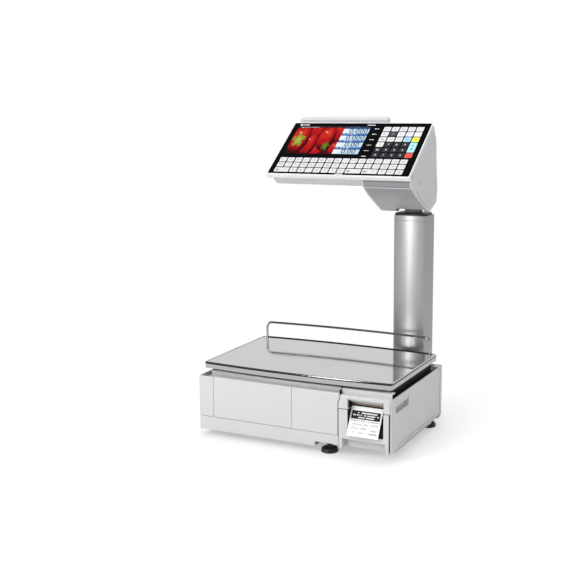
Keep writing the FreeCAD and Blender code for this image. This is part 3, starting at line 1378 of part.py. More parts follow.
drum_end = d.drum_split - 0.4
cradle = on_display("display_cradle")
cradle.turn_across(0, 0, [
    (d.drum_left, 0, 0),
    (d.drum_left, d.drum_radius, 1.5),
    (drum_end, d.drum_radius, 0),
    (drum_end, d.spindle + d.tilt_gap, 0),
    (drum_end - 6, d.spindle + d.tilt_gap, 0),
    (drum_end - 6, d.drum_radius - 3, 0),
    (d.drum_left + 12, d.drum_radius - 3, 0),
    (d.drum_left + 12, d.spindle + d.tilt_gap, 0),
    (d.drum_left + 3.5, d.spindle + d.tilt_gap, 0),
    (d.drum_left + 3.5, 0, 0),
])
cradle.pad("YZ", d.drum_left + 2, drum_end - 2, rect(
    d.drum_radius - 7, d.display_rear, -16, 16, 3))

display_middle = (d.display_left + d.display_right) / 2


def display_outline(inset, low, chin, round_top):
    """Front outline of the display with its bowed lower edge."""
    return [
        (d.display_left + inset, low, round_top),
        (display_middle, chin, d.chin_radius),
        (d.display_right - inset, low, round_top),
        (d.display_right - inset, d.display_high - inset, round_top),
        (d.display_left + inset, d.display_high - inset, round_top),
    ]


case = on_display("display_shell")
case.pad("XZ", d.display_rear, d.display_front, display_outline(0, d.display_low, d.display_chin, 6))
case.soften("Fillet", 4, edges_in_plane("y", d.display_rear))
case.cut("XZ", d.display_front - d.bezel_thick, d.display_front + 1, display_outline(
    d.bezel_edge, d.bezel_low, d.bezel_chin, 4))
case.cut("XZ", d.display_rear + 3, d.display_front, display_outline(
    d.bezel_edge + 3, d.bezel_low + 3, d.bezel_chin + 3, 3))

bezel = on_display("display_bezel")
bezel.pad("XZ", d.display_front - d.bezel_thick, d.display_front, display_outline(
    d.bezel_edge + 0.1, d.bezel_low + 0.1, d.bezel_chin + 0.1, 3.9))
bezel.cut("XZ", d.display_front - d.bezel_thick, d.display_front + 1, rect(
    display_middle - d.view_half, display_middle + d.view_half, d.view_low, d.view_high))

glass = on_display("customer_screen")
glass.pad("XZ", d.display_front - 9, d.display_front - d.bezel_thick, rect(
    display_middle - d.view_half - 2, display_middle + d.view_half + 2, d.view_low - 2, d.view_high + 2))
glass.pad("XZ", d.display_front - d.bezel_thick, d.display_front - 0.3, rect(
    display_middle - d.view_half + 0.1, display_middle + d.view_half - 0.1, d.view_low + 0.1, d.view_high - 0.1))


# ---------------------------------------------------------------- checks and files

doc.recompute()
parts = [item for item in doc.Objects if item.TypeId == "PartDesign::Body"]
parts.append(rail)
for item in doc.Objects:
    if {"Invalid", "Error"} & set(item.State):
        raise SystemExit("%s is %s" % (item.Name, item.State))
for item in parts:
    if item.Shape.isNull() or not item.Shape.isValid():
        raise SystemExit("%s has no valid shape" % item.Label)
os.makedirs("parts", exist_ok=True)
for item in parts:
    item.Shape.exportStep("parts/%s.step" % item.Label)
print("parts:", len(parts))
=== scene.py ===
import json
import math

import bmesh
import bpy
from mathutils import Matrix, Vector


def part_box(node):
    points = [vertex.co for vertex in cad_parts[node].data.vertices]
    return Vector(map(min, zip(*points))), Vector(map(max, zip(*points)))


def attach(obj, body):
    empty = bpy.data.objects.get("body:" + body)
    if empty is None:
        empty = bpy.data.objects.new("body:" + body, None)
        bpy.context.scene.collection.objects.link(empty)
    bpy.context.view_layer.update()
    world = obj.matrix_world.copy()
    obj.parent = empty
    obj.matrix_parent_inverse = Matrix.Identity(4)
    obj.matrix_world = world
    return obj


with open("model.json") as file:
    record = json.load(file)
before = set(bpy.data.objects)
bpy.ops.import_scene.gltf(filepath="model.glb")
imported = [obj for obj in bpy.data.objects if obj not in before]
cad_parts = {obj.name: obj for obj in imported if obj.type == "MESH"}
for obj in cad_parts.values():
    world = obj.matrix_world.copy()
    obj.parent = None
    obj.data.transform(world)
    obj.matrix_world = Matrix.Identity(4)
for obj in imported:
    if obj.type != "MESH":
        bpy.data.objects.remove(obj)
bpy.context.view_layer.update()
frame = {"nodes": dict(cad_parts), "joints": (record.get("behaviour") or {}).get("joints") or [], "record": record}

MM = 0.001


# ---- material graphs

def combine(operation, swapped=False):
    """A method of Value that adds one Math node to its graph."""
    def method(self, other=None):
        first, second = (other, self) if swapped else (self, other)
        return self.graph.sum(operation, first, second)
    return method


class Value:
    """A number, vector or colour flowing through a material graph, with the usual sums."""

    __add__ = __radd__ = combine("ADD")
    __sub__, __rsub__ = combine("SUBTRACT"), combine("SUBTRACT", swapped=True)
    __mul__ = __rmul__ = combine("MULTIPLY")
    __truediv__ = combine("DIVIDE")
    above, low, high = combine("GREATER_THAN"), combine("MINIMUM"), combine("MAXIMUM")
    floor, fract, abs = combine("FLOOR"), combine("FRACT"), combine("ABSOLUTE")
    root, sin = combine("SQRT"), combine("SINE")

    def __init__(self, graph, socket):
        self.graph = graph
        self.socket = socket

    def ramp(self, start, end, low=0.0, high=1.0):
        """Runs smoothly from low at start to high at end, and holds outside them."""
        return self.graph.node(
            "ShaderNodeMapRange", "Result",
            {"Value": self, "From Min": start, "From Max": end, "To Min": low, "To Max": high},
            interpolation_type="SMOOTHSTEP")

    def between(self, start, end, soft):
        """1 between start and end, 0 outside, with edges soft wide."""
        return self.ramp(start - soft, start + soft) * self.ramp(end - soft, end + soft, 1.0, 0.0)


class Graph:
    """A node material under construction, ending in one Principled shader."""

    def __init__(self, name):
        self.material = bpy.data.materials.new(name)
        self.material.use_nodes = True
        self.tree = self.material.node_tree
        self.tree.nodes.clear()
        self.shader = self.add("ShaderNodeBsdfPrincipled")
        out = self.add("ShaderNodeOutputMaterial")
        self.tree.links.new(self.shader.outputs[0], out.inputs["Surface"])
        self.place = Value(self, self.add("ShaderNodeTexCoord").outputs["Object"])

    def add(self, kind, **settings):
        node = self.tree.nodes.new(kind)
        for key, value in settings.items():
            setattr(node, key, value)
        return node

    def feed(self, socket, value):
        if isinstance(value, Value):
            self.tree.links.new(value.socket, socket)
        elif isinstance(value, tuple) and len(value) == 3 and socket.type == "RGBA":
            socket.default_value = (*value, 1.0)
        else:
            socket.default_value = value

    def node(self, kind, output, inputs, **settings):
        """Adds a node, feeds its inputs and returns one of its outputs."""
        node = self.add(kind, **settings)
        for key, value in inputs.items():
            if value is not None:
                self.feed(node.inputs[key], value)
        return Value(self, node.outputs[output])

    def sum(self, operation, first, second=None):
        return self.node("ShaderNodeMath", 0, {0: first, 1: second}, operation=operation)

    def axes(self):
        node = self.add("ShaderNodeSeparateXYZ")
        self.feed(node.inputs[0], self.place)
        return [Value(self, out) for out in node.outputs]

    def vector(self, x, y, z):
        return self.node("ShaderNodeCombineXYZ", 0, {0: x, 1: y, 2: z})

    def stretched(self, x, y, z):
        return self.node("ShaderNodeVectorMath", 0, {0: self.place, 1: (x, y, z)}, operation="MULTIPLY")

    def noise(self, scale, detail=2.0, vector=None, rough=0.5):
        return self.node("ShaderNodeTexNoise", "Fac", {
            "Vector": vector or self.place, "Scale": scale, "Detail": detail, "Roughness": rough})

    def cells(self, scale, vector=None):
        return self.node("ShaderNodeTexVoronoi", "Distance", {"Vector": vector or self.place, "Scale": scale})

    def reach(self, across, up, scale=None):
        """Distance from a line, given how far away it is across and up."""
        found = (across * across + up * up).root()
        return found * scale if scale else found

    def chance(self, vector):
        return self.node("ShaderNodeTexWhiteNoise", "Value", {"Vector": vector})

    def mix(self, first, second, amount):
        return self.node("ShaderNodeMix", 2, {0: amount, 6: first, 7: second}, data_type="RGBA")

    def bump(self, height, strength, distance=0.0002, normal=None):
        return self.node("ShaderNodeBump", 0, {
            "Strength": strength, "Distance": distance, "Height": height, "Normal": normal})

    def rounded(self, radius):
        """The surface's normal with every sharp edge eased by radius."""
        return self.node("ShaderNodeBevel", 0, {"Radius": radius}, samples=4)

    def dot(self, vector, other):
        return self.node("ShaderNodeVectorMath", "Value", {0: vector, 1: other}, operation="DOT_PRODUCT")

    def edges(self, rounded):
        """1 on a sharp edge and 0 on the flat."""
        flat = self.node("ShaderNodeNewGeometry", "True Normal", {})
        return self.dot(rounded, flat).ramp(0.75, 0.99, 1.0, 0.0)

    def finish(self, **inputs):
        for key, value in inputs.items():
            self.feed(self.shader.inputs[key.replace("_", " ")], value)
        return self.material


def grey(level):
    return (level, level, level)


def scaled(colour, factor, lift=0.0):
    """A colour made darker or lighter, held at white."""
    return tuple(min(1.0, c * factor + lift) for c in colour)


def moulded(name, colour, rough=0.42, grain=0.25, specular=0.5, lower=None):
    """Moulded and painted plastic: pebble grain, faint clouding and softly worn edges.

    lower is (colour, from z, to z) in metres, for a part that turns another colour towards its bottom: painted shade
    above it and painted bounce light below.
    """
    g = Graph(name)
    cloud = g.noise(9.0, 3.0)
    fine = g.noise(1400.0, 2.0)
    pebble = g.cells(840.0)
    rounded = g.rounded(0.0006)
    edge = g.edges(rounded)
    dust = g.noise(55.0, 5.0, rough=0.7).ramp(0.52, 0.8)
    tint = g.mix(scaled(colour, 0.94), scaled(colour, 1.05), cloud * 0.6 + fine * 0.4)
    tint = g.mix(tint, scaled(colour, 1.25, 0.02), edge * 0.45)
    # Painted light: the part's own darkened tone stands for shade above, and the lighter lower colour stands for
    # bounce light below.
    if lower:
        tint = g.mix(lower[0], tint, g.axes()[2].ramp(*lower[1:]))
    return g.finish(
        Base_Color=g.mix(tint, scaled(colour, 0.9), dust * 0.12),
        Roughness=fine * 0.1 + cloud * 0.08 + dust * 0.06 + (rough - 0.11),
        Normal=g.bump(pebble * 0.6 + fine * 0.4, grain, 0.00006, rounded),
        Specular_IOR_Level=specular,
    )


def metal(name, colour, rough, along=(1.0, 1.0, 1.0), streak=0.12, relief=0.12):
    """Bare or plated metal, with its grain drawn out along one axis and faint handling marks."""
    g = Graph(name)
    lines = g.noise(900.0, 3.0, g.stretched(*along))
    broad = g.noise(120.0, 2.0, g.stretched(*along))
    smudge = g.noise(22.0, 4.0, rough=0.65).ramp(0.45, 0.75)
    rounded = g.rounded(0.0004)
    return g.finish(
        Base_Color=g.mix(scaled(colour, 0.9), scaled(colour, 1.06), lines * 0.5 + broad * 0.5),
        Metallic=1.0,
        Roughness=lines * streak + smudge * 0.05 + (rough - streak * 0.5),
        Normal=g.bump(lines, relief, 0.00003, rounded),
    )


# ---- working planes and mesh helpers

class Plane:
    """A flat working surface in millimetres: a point, the direction across it and the direction up it."""

    def __init__(self, origin, across, up):
        self.origin = Vector(origin)
        self.across = Vector(across).normalized()
        self.up = Vector(up).normalized()
        self.out = self.across.cross(self.up)

    def at(self, x, y, n=0.0):
        return self.origin + (self.across * x + self.up * y + self.out * n) * MM

    def matrix(self, x, y):
        turn = Matrix((self.across, self.up, self.out)).transposed().to_4x4()
        return Matrix.Translation(self.at(x, y)) @ turn

    def measure(self, g):
        """The plane's own x and y, in millimetres, as graph values."""
        return [(g.dot(g.place, axis) - self.origin.dot(axis)) * 1000.0 for axis in (self.across, self.up)]


def rounded(x0, x1, y0, y1, radius, steps=4):
    """Corner points of a rounded rectangle, anticlockwise."""
    points = []
    corners = ((x1 - radius, y0 + radius, -90), (x1 - radius, y1 - radius, 0),
               (x0 + radius, y1 - radius, 90), (x0 + radius, y0 + radius, 180))
    for cx, cy, start in corners:
        for k in range(steps + 1):
            a = math.radians(start + 90 * k / steps)
            points.append((cx + radius * math.cos(a), cy + radius * math.sin(a)))
    return points


def circle(radius, count=32):
    return [(radius * math.cos(math.tau * k / count), radius * math.sin(math.tau * k / count))
            for k in range(count)]


def cross(arm, half, count=32):
    """Outline of a cross recess, with the same number of points as circle()."""
    points = []
    for k in range(count):
        a = math.tau * k / count
        c, s = abs(math.cos(a)), abs(math.sin(a))
        reach = min(arm / max(c, s), half / max(min(c, s), 1e-6))
        points.append((reach * math.cos(a), reach * math.sin(a)))
    return points


def loft(bm, rings, start=True, end=True, closed=False):
    """Joins rings of points with quads, and closes the ends."""
    made = [[bm.verts.new(p) for p in ring] for ring in rings]
    pairs = list(zip(made, made[1:]))
    if closed:
        pairs.append((made[-1], made[0]))
    for low, high in pairs:
        for k in range(len(low)):
            j = (k + 1) % len(low)
            bm.faces.new((low[k], low[j], high[j], high[k]))
    if start and not closed:
        bm.faces.new(list(reversed(made[0])))
    if end and not closed:
        bm.faces.new(made[-1])


def stack(bm, plane, x, y, layers, **ends):
    """Lofts outlines given as (points, height) straight out of a plane."""
    loft(bm, [[plane.at(x + px, y + py, n) for px, py in points] for points, n in layers], **ends)


def slab(bm, plane, x0, x1, y0, y1, low, high, radius, ease=0.3, dish=0.0):
    """A rounded plate with an eased upper edge, dished in the middle by dish."""
    inner = max(radius - ease, 0.05)
    layers = [(rounded(x0, x1, y0, y1, radius), low),
              (rounded(x0, x1, y0, y1, radius), high - ease),
              (rounded(x0 + ease * 0.3, x1 - ease * 0.3, y0 + ease * 0.3, y1 - ease * 0.3, inner), high - ease * 0.3),
              (rounded(x0 + ease, x1 - ease, y0 + ease, y1 - ease, inner), high)]
    if dish:
        edge = ease + 1.4
        layers.append((rounded(x0 + edge, x1 - edge, y0 + edge, y1 - edge, max(radius - edge, 0.3)), high - dish))
    stack(bm, plane, 0, 0, layers)


def tube(bm, points, radius, count=12, closed=False):
    """A round tube along points in metres."""
    points = [Vector(p) for p in points]
    rings = []
    side = None
    for k, p in enumerate(points):
        before = points[k - 1] if k or closed else p
        after = points[(k + 1) % len(points)] if k + 1 < len(points) or closed else p
        along = (after - before).normalized()
        if side is None:
            side = along.orthogonal().normalized()
        side = (side - along * side.dot(along)).normalized()
        other = along.cross(side)
        rings.append([p + (side * math.cos(a) + other * math.sin(a)) * radius * MM
                      for a in (math.tau * j / count for j in range(count))])
    loft(bm, rings, closed=closed)


def screw(bm, plane, x, y, radius, high):
    """A pan-head screw with a cross recess, standing on a plane."""
    r = radius
    stack(bm, plane, x, y, [
        (circle(r), -0.2), (circle(r), high * 0.45), (circle(r * 0.93), high * 0.72), (circle(r * 0.78), high * 0.92),
        (circle(r * 0.62), high), (cross(r * 0.52, r * 0.17), high), (cross(r * 0.44, r * 0.13), high * 0.25),
        (cross(r * 0.16, r * 0.09), high * 0.1)])


def piece(name, body, material, build):
    """Builds a mesh object in place, gives it its material and makes it move with a body."""
    bm = bmesh.new()
    build(bm)
    bmesh.ops.recalc_face_normals(bm, faces=bm.faces)
    mesh = bpy.data.meshes.new(name)
    bm.to_mesh(mesh)
    bm.free()
    return finish_piece(name, mesh, body, material)


def finish_piece(name, mesh, body, material):
    mesh.shade_smooth()
    mesh.set_sharp_from_angle(angle=math.radians(32.0))
    mesh.materials.clear()
    mesh.materials.append(material)
    obj = bpy.data.objects.new(name, mesh)
    bpy.context.scene.collection.objects.link(obj)
    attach(obj, body)
    return obj


def number(name, text, plane, x, y, height, body, material, thick=0.05, weight=0.0):
    """Printed digits, centred at x, y on a plane."""
    curve = bpy.data.curves.new(name, "FONT")
    curve.body = text
    curve.align_x = "CENTER"
    curve.align_y = "CENTER"
    curve.size = height * 1.35 * MM
    curve.extrude = thick * 0.5 * MM
    curve.offset = weight * MM
    curve.resolution_u = 3
    holder = bpy.data.objects.new(name + "_outline", curve)
    bpy.context.scene.collection.objects.link(holder)
    bpy.context.view_layer.update()
    mesh = bpy.data.meshes.new_from_object(holder.evaluated_get(bpy.context.evaluated_depsgraph_get()))
    bpy.data.objects.remove(holder)
    mesh.transform(plane.matrix(x, y))
    return finish_piece(name, mesh, body, material)


# ---- where things are

def low_high(node):
    return [Vector(corner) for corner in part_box(node)]


TILT = math.radians(36.47)
overlay_low = low_high("keyboard_overlay")[0]
# The overlay's lowest corner lies 2.6 mm up the slope, 0.3 to 1.2 mm under the key tops.
SLOPE = Plane(
    (0.0,
     overlay_low.y - (2.6 * math.cos(TILT) + 0.3 * math.sin(TILT)) * MM,
     overlay_low.z - (2.6 * math.sin(TILT) - 1.2 * math.cos(TILT)) * MM),
    (1, 0, 0), (0, math.cos(TILT), math.sin(TILT)))
LEAN = math.radians(10.0)
PIVOTS = {joint["name"]: Vector(joint["pos_m"]) for joint in frame["joints"] if "pos_m" in joint}
# Customer display: x runs to the customer's right, seen from behind the scale.
DISPLAY = Plane((0.0, PIVOTS["display_tilt"].y, PIVOTS["display_tilt"].z), (-1, 0, 0),
                (0, -math.sin(LEAN), math.cos(LEAN)))

screen_low, screen_high = low_high("operator_screen")
SCREEN_X = (screen_low.x * 1000, screen_high.x * 1000)
SCREEN_S = (66.0, 154.5)
KEYS = {"x": -131.9, "s": 6.2, "column": 17.6, "row": 15.7}
KEYPAD = {"x": 65.2, "s": 56.2, "column": 17.7, "row": 16.4}
KEY_GAP = 2.4


# ---- pictures shown on the screens

def tomato(g, base, u, v, x, y, wide, tall, warm):
    """A ripe tomato at (x, y), lit from above, painted over base; warm is how orange its lit side is."""
    across = (u - x) / wide
    up = (v - y) / tall
    reach = across * across + up * up
    bulge = (1.0 - reach).high(0.0).root()
    ribs = (across * 6.0).sin() * 0.07
    mottle = g.noise(140.0, 4.0, rough=0.7)
    lit = bulge * 0.78 + up * 0.35 - across * 0.2 + ribs + (mottle - 0.5) * 0.3
    skin = g.mix((0.030, 0.0, 0.001), (0.48, 0.005, 0.006), lit.ramp(0.05, 0.72))
    skin = g.mix(skin, (0.88, 0.07 * warm, 0.022), lit.ramp(0.68, 1.05) * 0.8)
    shine = (across + 0.25) * (across + 0.25) * 9.0 + (up - 0.45) * (up - 0.45) * 16.0
    skin = g.mix(skin, (1.0, 0.66, 0.52), (shine + (mottle - 0.5) * 0.5).ramp(0.0, 0.16, 0.75, 0.0))
    return g.mix(base, skin, reach.ramp(0.90, 1.0, 1.0, 0.0))


def calyx(g, base, u, v, x, y, size, turn, bright):
    """Ragged green sepals with pale middles, painted over base."""
    across = (u - x) / size
    up = (v - y) / (size * 1.9)
    reach = g.reach(across, up)
    angle = g.sum("ARCTAN2", up, across)
    frill = g.noise(330.0, 6.0, rough=0.85)
    star = (angle * 2.5 + turn + (frill - 0.5) * 7.0).sin().abs() * 0.5 + frill * 0.9 - 0.1
    shade = (frill * 1.8 + (1.0 - reach) * 0.25).ramp(0.65, 1.15)
    leaf = g.mix((0.015, 0.06, 0.003), (0.36, 0.46, 0.05), shade * bright)
    leaf = g.mix(leaf, (0.80, 0.78, 0.25), (frill * 1.5 - reach * 0.5).ramp(0.55, 0.9) * 0.7 * bright)
    return g.mix(base, leaf, (star - reach).ramp(0.0, 0.10))


def fruit_picture(g, u, v):
    """Tomatoes on a dark bed; u runs to the right and v up, both 0 to 1."""
    picture = g.mix((0.012, 0.0, 0.002), (0.10, 0.004, 0.006), g.noise(60.0, 3.0).ramp(0.35, 0.75))
    for x, y, wide, tall, warm in (
            (0.47, 0.86, 0.15, 0.30, 0.5), (0.93, 0.78, 0.14, 0.40, 0.6), (0.985, 0.20, 0.11, 0.26, 1.0),
            (0.60, 0.10, 0.20, 0.26, 0.3), (0.42, 0.32, 0.155, 0.46, 0.7), (0.17, 0.52, 0.21, 0.56, 0.9),
            (0.72, 0.58, 0.18, 0.46, 1.4)):
        picture = tomato(g, picture, u, v, x, y, wide, tall, warm)
    picture = calyx(g, picture, u, v, 0.15, 0.50, 0.17, 0.4, 0.9)
    return calyx(g, picture, u, v, 0.78, 0.28, 0.10, 1.1, 0.35)


def dashes(g, u, v, columns, row, seed, keep=0.45):
    """Rows of short bars standing in for small print; row is the height of one."""
    cell = g.vector((u * columns).floor(), (v / row).floor(), seed)
    inside = (v / row).fract().between(0.3, 0.72, 0.06)
    return g.chance(cell).above(keep) * inside


def lit_screen(name, picture_of, plane, x0, x1, y0, y1):
    g = Graph(name)
    x, y = plane.measure(g)
    u = (x - x0) / (x1 - x0)
    v = (y - y0) / (y1 - y0)
    picture = picture_of(g, u, v)
    columns = (x * 3.6).fract().between(0.12, 0.88, 0.1)
    return g.finish(
        Base_Color=(0.004, 0.004, 0.005),
        Emission_Color=picture,
        Emission_Strength=columns * 0.12 + 0.93,
        Roughness=0.16,
        Specular_IOR_Level=0.12,
    )


def operator_picture(g, u, v):
    """Fruit on the left two thirds and four price fields on the right."""
    panel = u.above(0.655)
    fruit = fruit_picture(g, u / 0.655, v)
    row = (v * 4.0).fract()
    field = g.mix((0.42, 0.66, 0.80), (0.86, 0.95, 0.98), (u * 2.9 - 1.9).ramp(0.0, 0.5, 1.0, 0.35))
    header = g.mix((0.02, 0.07, 0.26), (0.10, 0.26, 0.62), row.ramp(0.66, 1.0))
    small_print = dashes(g, u, row, 52.0, 0.36, 3.0, 0.35) * row.above(0.72) * u.between(0.68, 0.86, 0.004)
    price = g.mix(field, header, row.ramp(0.64, 0.68))
    price = g.mix(price, (0.75, 0.85, 0.95), small_print * 0.8)
    price = g.mix(price, (0.01, 0.03, 0.12), row.between(-0.1, 0.025, 0.01))
    shown = g.mix(fruit, price, panel)
    bar = v.above(0.945)
    shown = g.mix(shown, (0.015, 0.02, 0.03), bar * 0.85)
    title = dashes(g, u, v - 0.94, 90.0, 0.06, 9.0, 0.5) * bar * u.ramp(0.295, 0.305, 1.0, 0.0)
    return g.mix(shown, (0.55, 0.6, 0.65), title)


def customer_picture(g, u, v):
    """A white banner with a row of plain bars over the fruit."""
    fruit = fruit_picture(g, u, v / 0.64)
    bars = dashes(g, u, v - 0.775, 46.0, 0.13, 5.0, 0.28) * v.between(0.775, 0.885, 0.004)
    bars = bars * u.between(0.07, 0.93, 0.004)
    banner = g.mix((0.9, 0.91, 0.92), (0.02, 0.02, 0.025), bars)
    shown = g.mix(fruit, banner, v.ramp(0.635, 0.65))
    frame_line = u.between(0.014, 0.986, 0.002) * v.between(0.02, 0.98, 0.003)
    return g.mix((0.75, 0.76, 0.78), shown, frame_line)


# ---- special materials

def printed_paper(name, plane, width, length):
    """White label stock with a dark heading and rows of grey bars where the print would be."""
    g = Graph(name)
    x, y = plane.measure(g)
    u, v = x / width, y / length
    fibre = g.noise(2600.0, 3.0)
    def bars(row, high, left, right, columns, keep, seed, start, soft):
        cell = g.vector((u * columns).floor(), row * seed[0], seed[1])
        strokes = g.chance(cell).above(keep) * (u * columns).fract().between(start, 1.0 - start, soft)
        return strokes * v.between(row, row + high, 0.004) * u.between(left, right, 0.002)

    heading = u.between(0.04, 0.955, 0.003) * v.between(0.575, 0.855, 0.003)
    ink = heading
    for line in ((0.765, 0.045, 0.20, 0.84, 26.0, 0.25), (0.690, 0.040, 0.09, 0.92, 34.0, 0.22),
                 (0.615, 0.040, 0.26, 0.78, 30.0, 0.25)):
        ink = ink - heading * bars(*line, (31.0, 1.0), 0.1, 0.08)
    for *line, dark in (
            (0.505, 0.038, 0.03, 0.97, 38.0, 0.18, 0.75), (0.430, 0.028, 0.16, 0.30, 40.0, 0.3, 0.6),
            (0.430, 0.028, 0.42, 0.56, 40.0, 0.3, 0.6), (0.385, 0.030, 0.10, 0.62, 36.0, 0.12, 0.7),
            (0.400, 0.040, 0.70, 0.93, 30.0, 0.2, 0.6), (0.300, 0.028, 0.12, 0.30, 40.0, 0.3, 0.6),
            (0.300, 0.028, 0.40, 0.56, 40.0, 0.3, 0.6), (0.255, 0.030, 0.08, 0.60, 36.0, 0.12, 0.7),
            (0.215, 0.060, 0.72, 0.90, 26.0, 0.2, 0.55), (0.120, 0.040, 0.08, 0.22, 30.0, 0.2, 0.6),
            (0.120, 0.040, 0.34, 0.50, 30.0, 0.2, 0.6), (0.110, 0.055, 0.68, 0.94, 26.0, 0.15, 0.7)):
        ink = ink + bars(*line, (57.0, 2.0), 0.12, 0.1) * dark
    paper = g.mix((0.86, 0.86, 0.85), (0.93, 0.93, 0.925), fibre)
    return g.finish(
        Base_Color=g.mix(paper, (0.012, 0.012, 0.014), ink.low(1.0)),
        Roughness=fibre * 0.1 + 0.5,
        Normal=g.bump(fibre, 0.15, 0.00004),
        Specular_IOR_Level=0.35,
    )


FACE_REACH = 0.0335     # from here outwards a surface of the label roll is its face, not its end


def wound_paper(name, axis_y, axis_z):
    """A roll of label stock: fine rings on its ends, pale face with the gaps between labels."""
    g = Graph(name)
    _, y, z = g.axes()
    reach = g.reach(y - axis_y, z - axis_z)
    wobble = g.noise(160.0, 2.0) * 0.00035
    ring = ((reach + wobble) * 5200.0).sin() * 0.5 + 0.5
    angle = g.sum("ARCTAN2", z - axis_z, y - axis_y)
    gap = (angle * 0.62 + 0.3).fract().between(-0.02, 0.03, 0.006) * reach.above(FACE_REACH)
    tint = g.mix((0.62, 0.585, 0.50), (0.80, 0.775, 0.70), ring)
    tint = g.mix(tint, (0.88, 0.875, 0.86), reach.above(FACE_REACH))
    return g.finish(
        Base_Color=g.mix(tint, (0.70, 0.64, 0.48), gap),
        Roughness=g.noise(1200.0, 2.0) * 0.15 + 0.55,
        Normal=g.bump(ring + g.noise(1800.0, 2.0) * 0.4, 0.2, 0.00006),
        Specular_IOR_Level=0.3,
    )


def circuit_board(name):
    """Green solder mask with slanted and level tracks and gilt pads."""
    g = Graph(name)
    x, y, _ = g.axes()
    flat = g.vector(x, y, 0.0)
    slanted = ((x + y * 0.35) * 900.0).sin().abs().ramp(0.75, 0.95) * g.noise(45.0, 0.0, flat).above(0.5)
    level = (y * 900.0).sin().abs().ramp(0.8, 0.97) * g.noise(38.0, 0.0, flat).above(0.52)
    pads = g.cells(190.0, flat).ramp(0.12, 0.16, 1.0, 0.0)
    tint = g.mix((0.008, 0.075, 0.030), (0.022, 0.16, 0.062), (slanted + level).low(1.0))
    return g.finish(
        Base_Color=g.mix(tint, (0.62, 0.55, 0.32), pads),
        Metallic=pads * 0.8,
        Roughness=pads * 0.1 + 0.28,
        Normal=g.bump(slanted * 0.5 + level * 0.5 + pads, 0.3, 0.00008, g.rounded(0.0003)),
        Coat_Weight=0.3,
    )


def spirit_level(name, low, high):
    """Green spirit with a bubble and its black centring ring."""
    g = Graph(name)
    x, y, _ = g.axes()
    middle = (low + high) / 2
    x, y = x - middle.x, y - middle.y
    reach = g.reach(x, y, 1000.0)
    drift = g.reach(x - 0.0005, y - 0.0003, 1000.0)
    tint = g.mix((0.30, 0.52, 0.05), (0.55, 0.75, 0.16), g.noise(300.0, 2.0))
    tint = g.mix(tint, (0.86, 0.95, 0.62), drift.ramp(1.5, 1.8, 1.0, 0.0))
    tint = g.mix(tint, (0.01, 0.01, 0.01), reach.between(2.45, 2.85, 0.06))
    tint = g.mix(tint, (0.80, 0.80, 0.80), reach.above(4.6))
    return g.finish(Base_Color=tint, Roughness=g.noise(90.0, 2.0) * 0.06 + 0.05, Coat_Weight=0.8)


def rubber(name, shade=0.018, ribs=0.0):
    g = Graph(name)
    _, _, z = g.axes()
    pore = g.noise(900.0, 3.0)
    dust = g.noise(70.0, 4.0, rough=0.7).ramp(0.5, 0.8)
    rib = (z * 1000.0 * ribs).sin() * 0.5 + 0.5
    return g.finish(
        Base_Color=g.mix(grey(shade), grey(shade * 3.2), dust * 0.5 + pore * 0.2),
        Roughness=pore * 0.2 + 0.55,
        Normal=g.bump(pore + rib * (0.8 if ribs else 0.0), 0.4, 0.0001, g.rounded(0.0005)),
        Specular_IOR_Level=0.35,
    )


def film(name, colour, rough=0.3, specular=0.35, legend=None):
    """Printed polyester film, with an optional legend of small bars: its ink and the grid of its keys."""
    g = Graph(name)
    grain = g.noise(1900.0, 2.0)
    wear = g.noise(60.0, 4.0, rough=0.7).ramp(0.5, 0.85)
    tint = g.mix(scaled(colour, 0.95), colour, grain)
    if legend:
        x, y = SLOPE.measure(g)
        ink, grid = legend
        across = (x - grid["x"]) / grid["column"]
        up = (y - grid["s"]) / grid["row"]
        cell_x, cell_y = across.floor(), up.floor()
        in_x, in_y = across.fract(), up.fract()
        pick = g.chance(g.vector(cell_x, cell_y, 3.0))
        letter = g.vector((in_x * 14.0).floor(), cell_x + cell_y * 17.0, (in_y * 7.0).floor())
        upper = in_y.between(0.50, 0.60, 0.02) * in_x.between(0.28, 0.72, 0.02)
        lower = in_y.between(0.36, 0.45, 0.02) * in_x.between(0.34, 0.66, 0.02) * pick.above(0.45)
        bars = (in_x * 14.0).fract().between(0.1, 0.9, 0.1)
        tint = g.mix(tint, ink, (upper + lower) * g.chance(letter).above(0.3) * bars * 0.85)
    return g.finish(
        Base_Color=g.mix(tint, scaled(colour, 0.9), wear * 0.15),
        Roughness=grain * 0.08 + wear * 0.06 + (rough - 0.05),
        Normal=g.bump(grain, 0.12, 0.00003, g.rounded(0.0002)),
        Specular_IOR_Level=specular,
    )


def column_metal(name):
    """Satin anodised extrusion: grain along its length, faint broad bands and a soft sheen."""
    g = Graph(name)
    fine = g.noise(1500.0, 3.0, g.stretched(1.0, 1.0, 0.012))
    band = g.noise(75.0, 2.0, g.stretched(1.0, 1.0, 0.02))
    stain = g.noise(14.0, 4.0, rough=0.6).ramp(0.4, 0.8)
    rounded = g.rounded(0.0006)
    tint = g.mix((0.50, 0.505, 0.515), (0.66, 0.665, 0.675), fine * 0.5 + band * 0.5)
    return g.finish(
        Base_Color=g.mix(tint, (0.56, 0.565, 0.575), stain * 0.25),
        Metallic=0.92,
        Roughness=fine * 0.10 + stain * 0.05 + 0.27,
        Anisotropic=0.5,
        Normal=g.bump(fine, 0.1, 0.00003, rounded),
    )


LABEL_LOW, LABEL_HIGH = low_high("printed_label")
LABEL = Plane((LABEL_LOW.x, LABEL_LOW.y, LABEL_LOW.z), (1, 0, 0), (0, 27.5, 50.5))
LABEL_LENGTH = 57.5
roll_axis = PIVOTS["roll_spin"]
customer_low, customer_high = low_high("customer_screen")

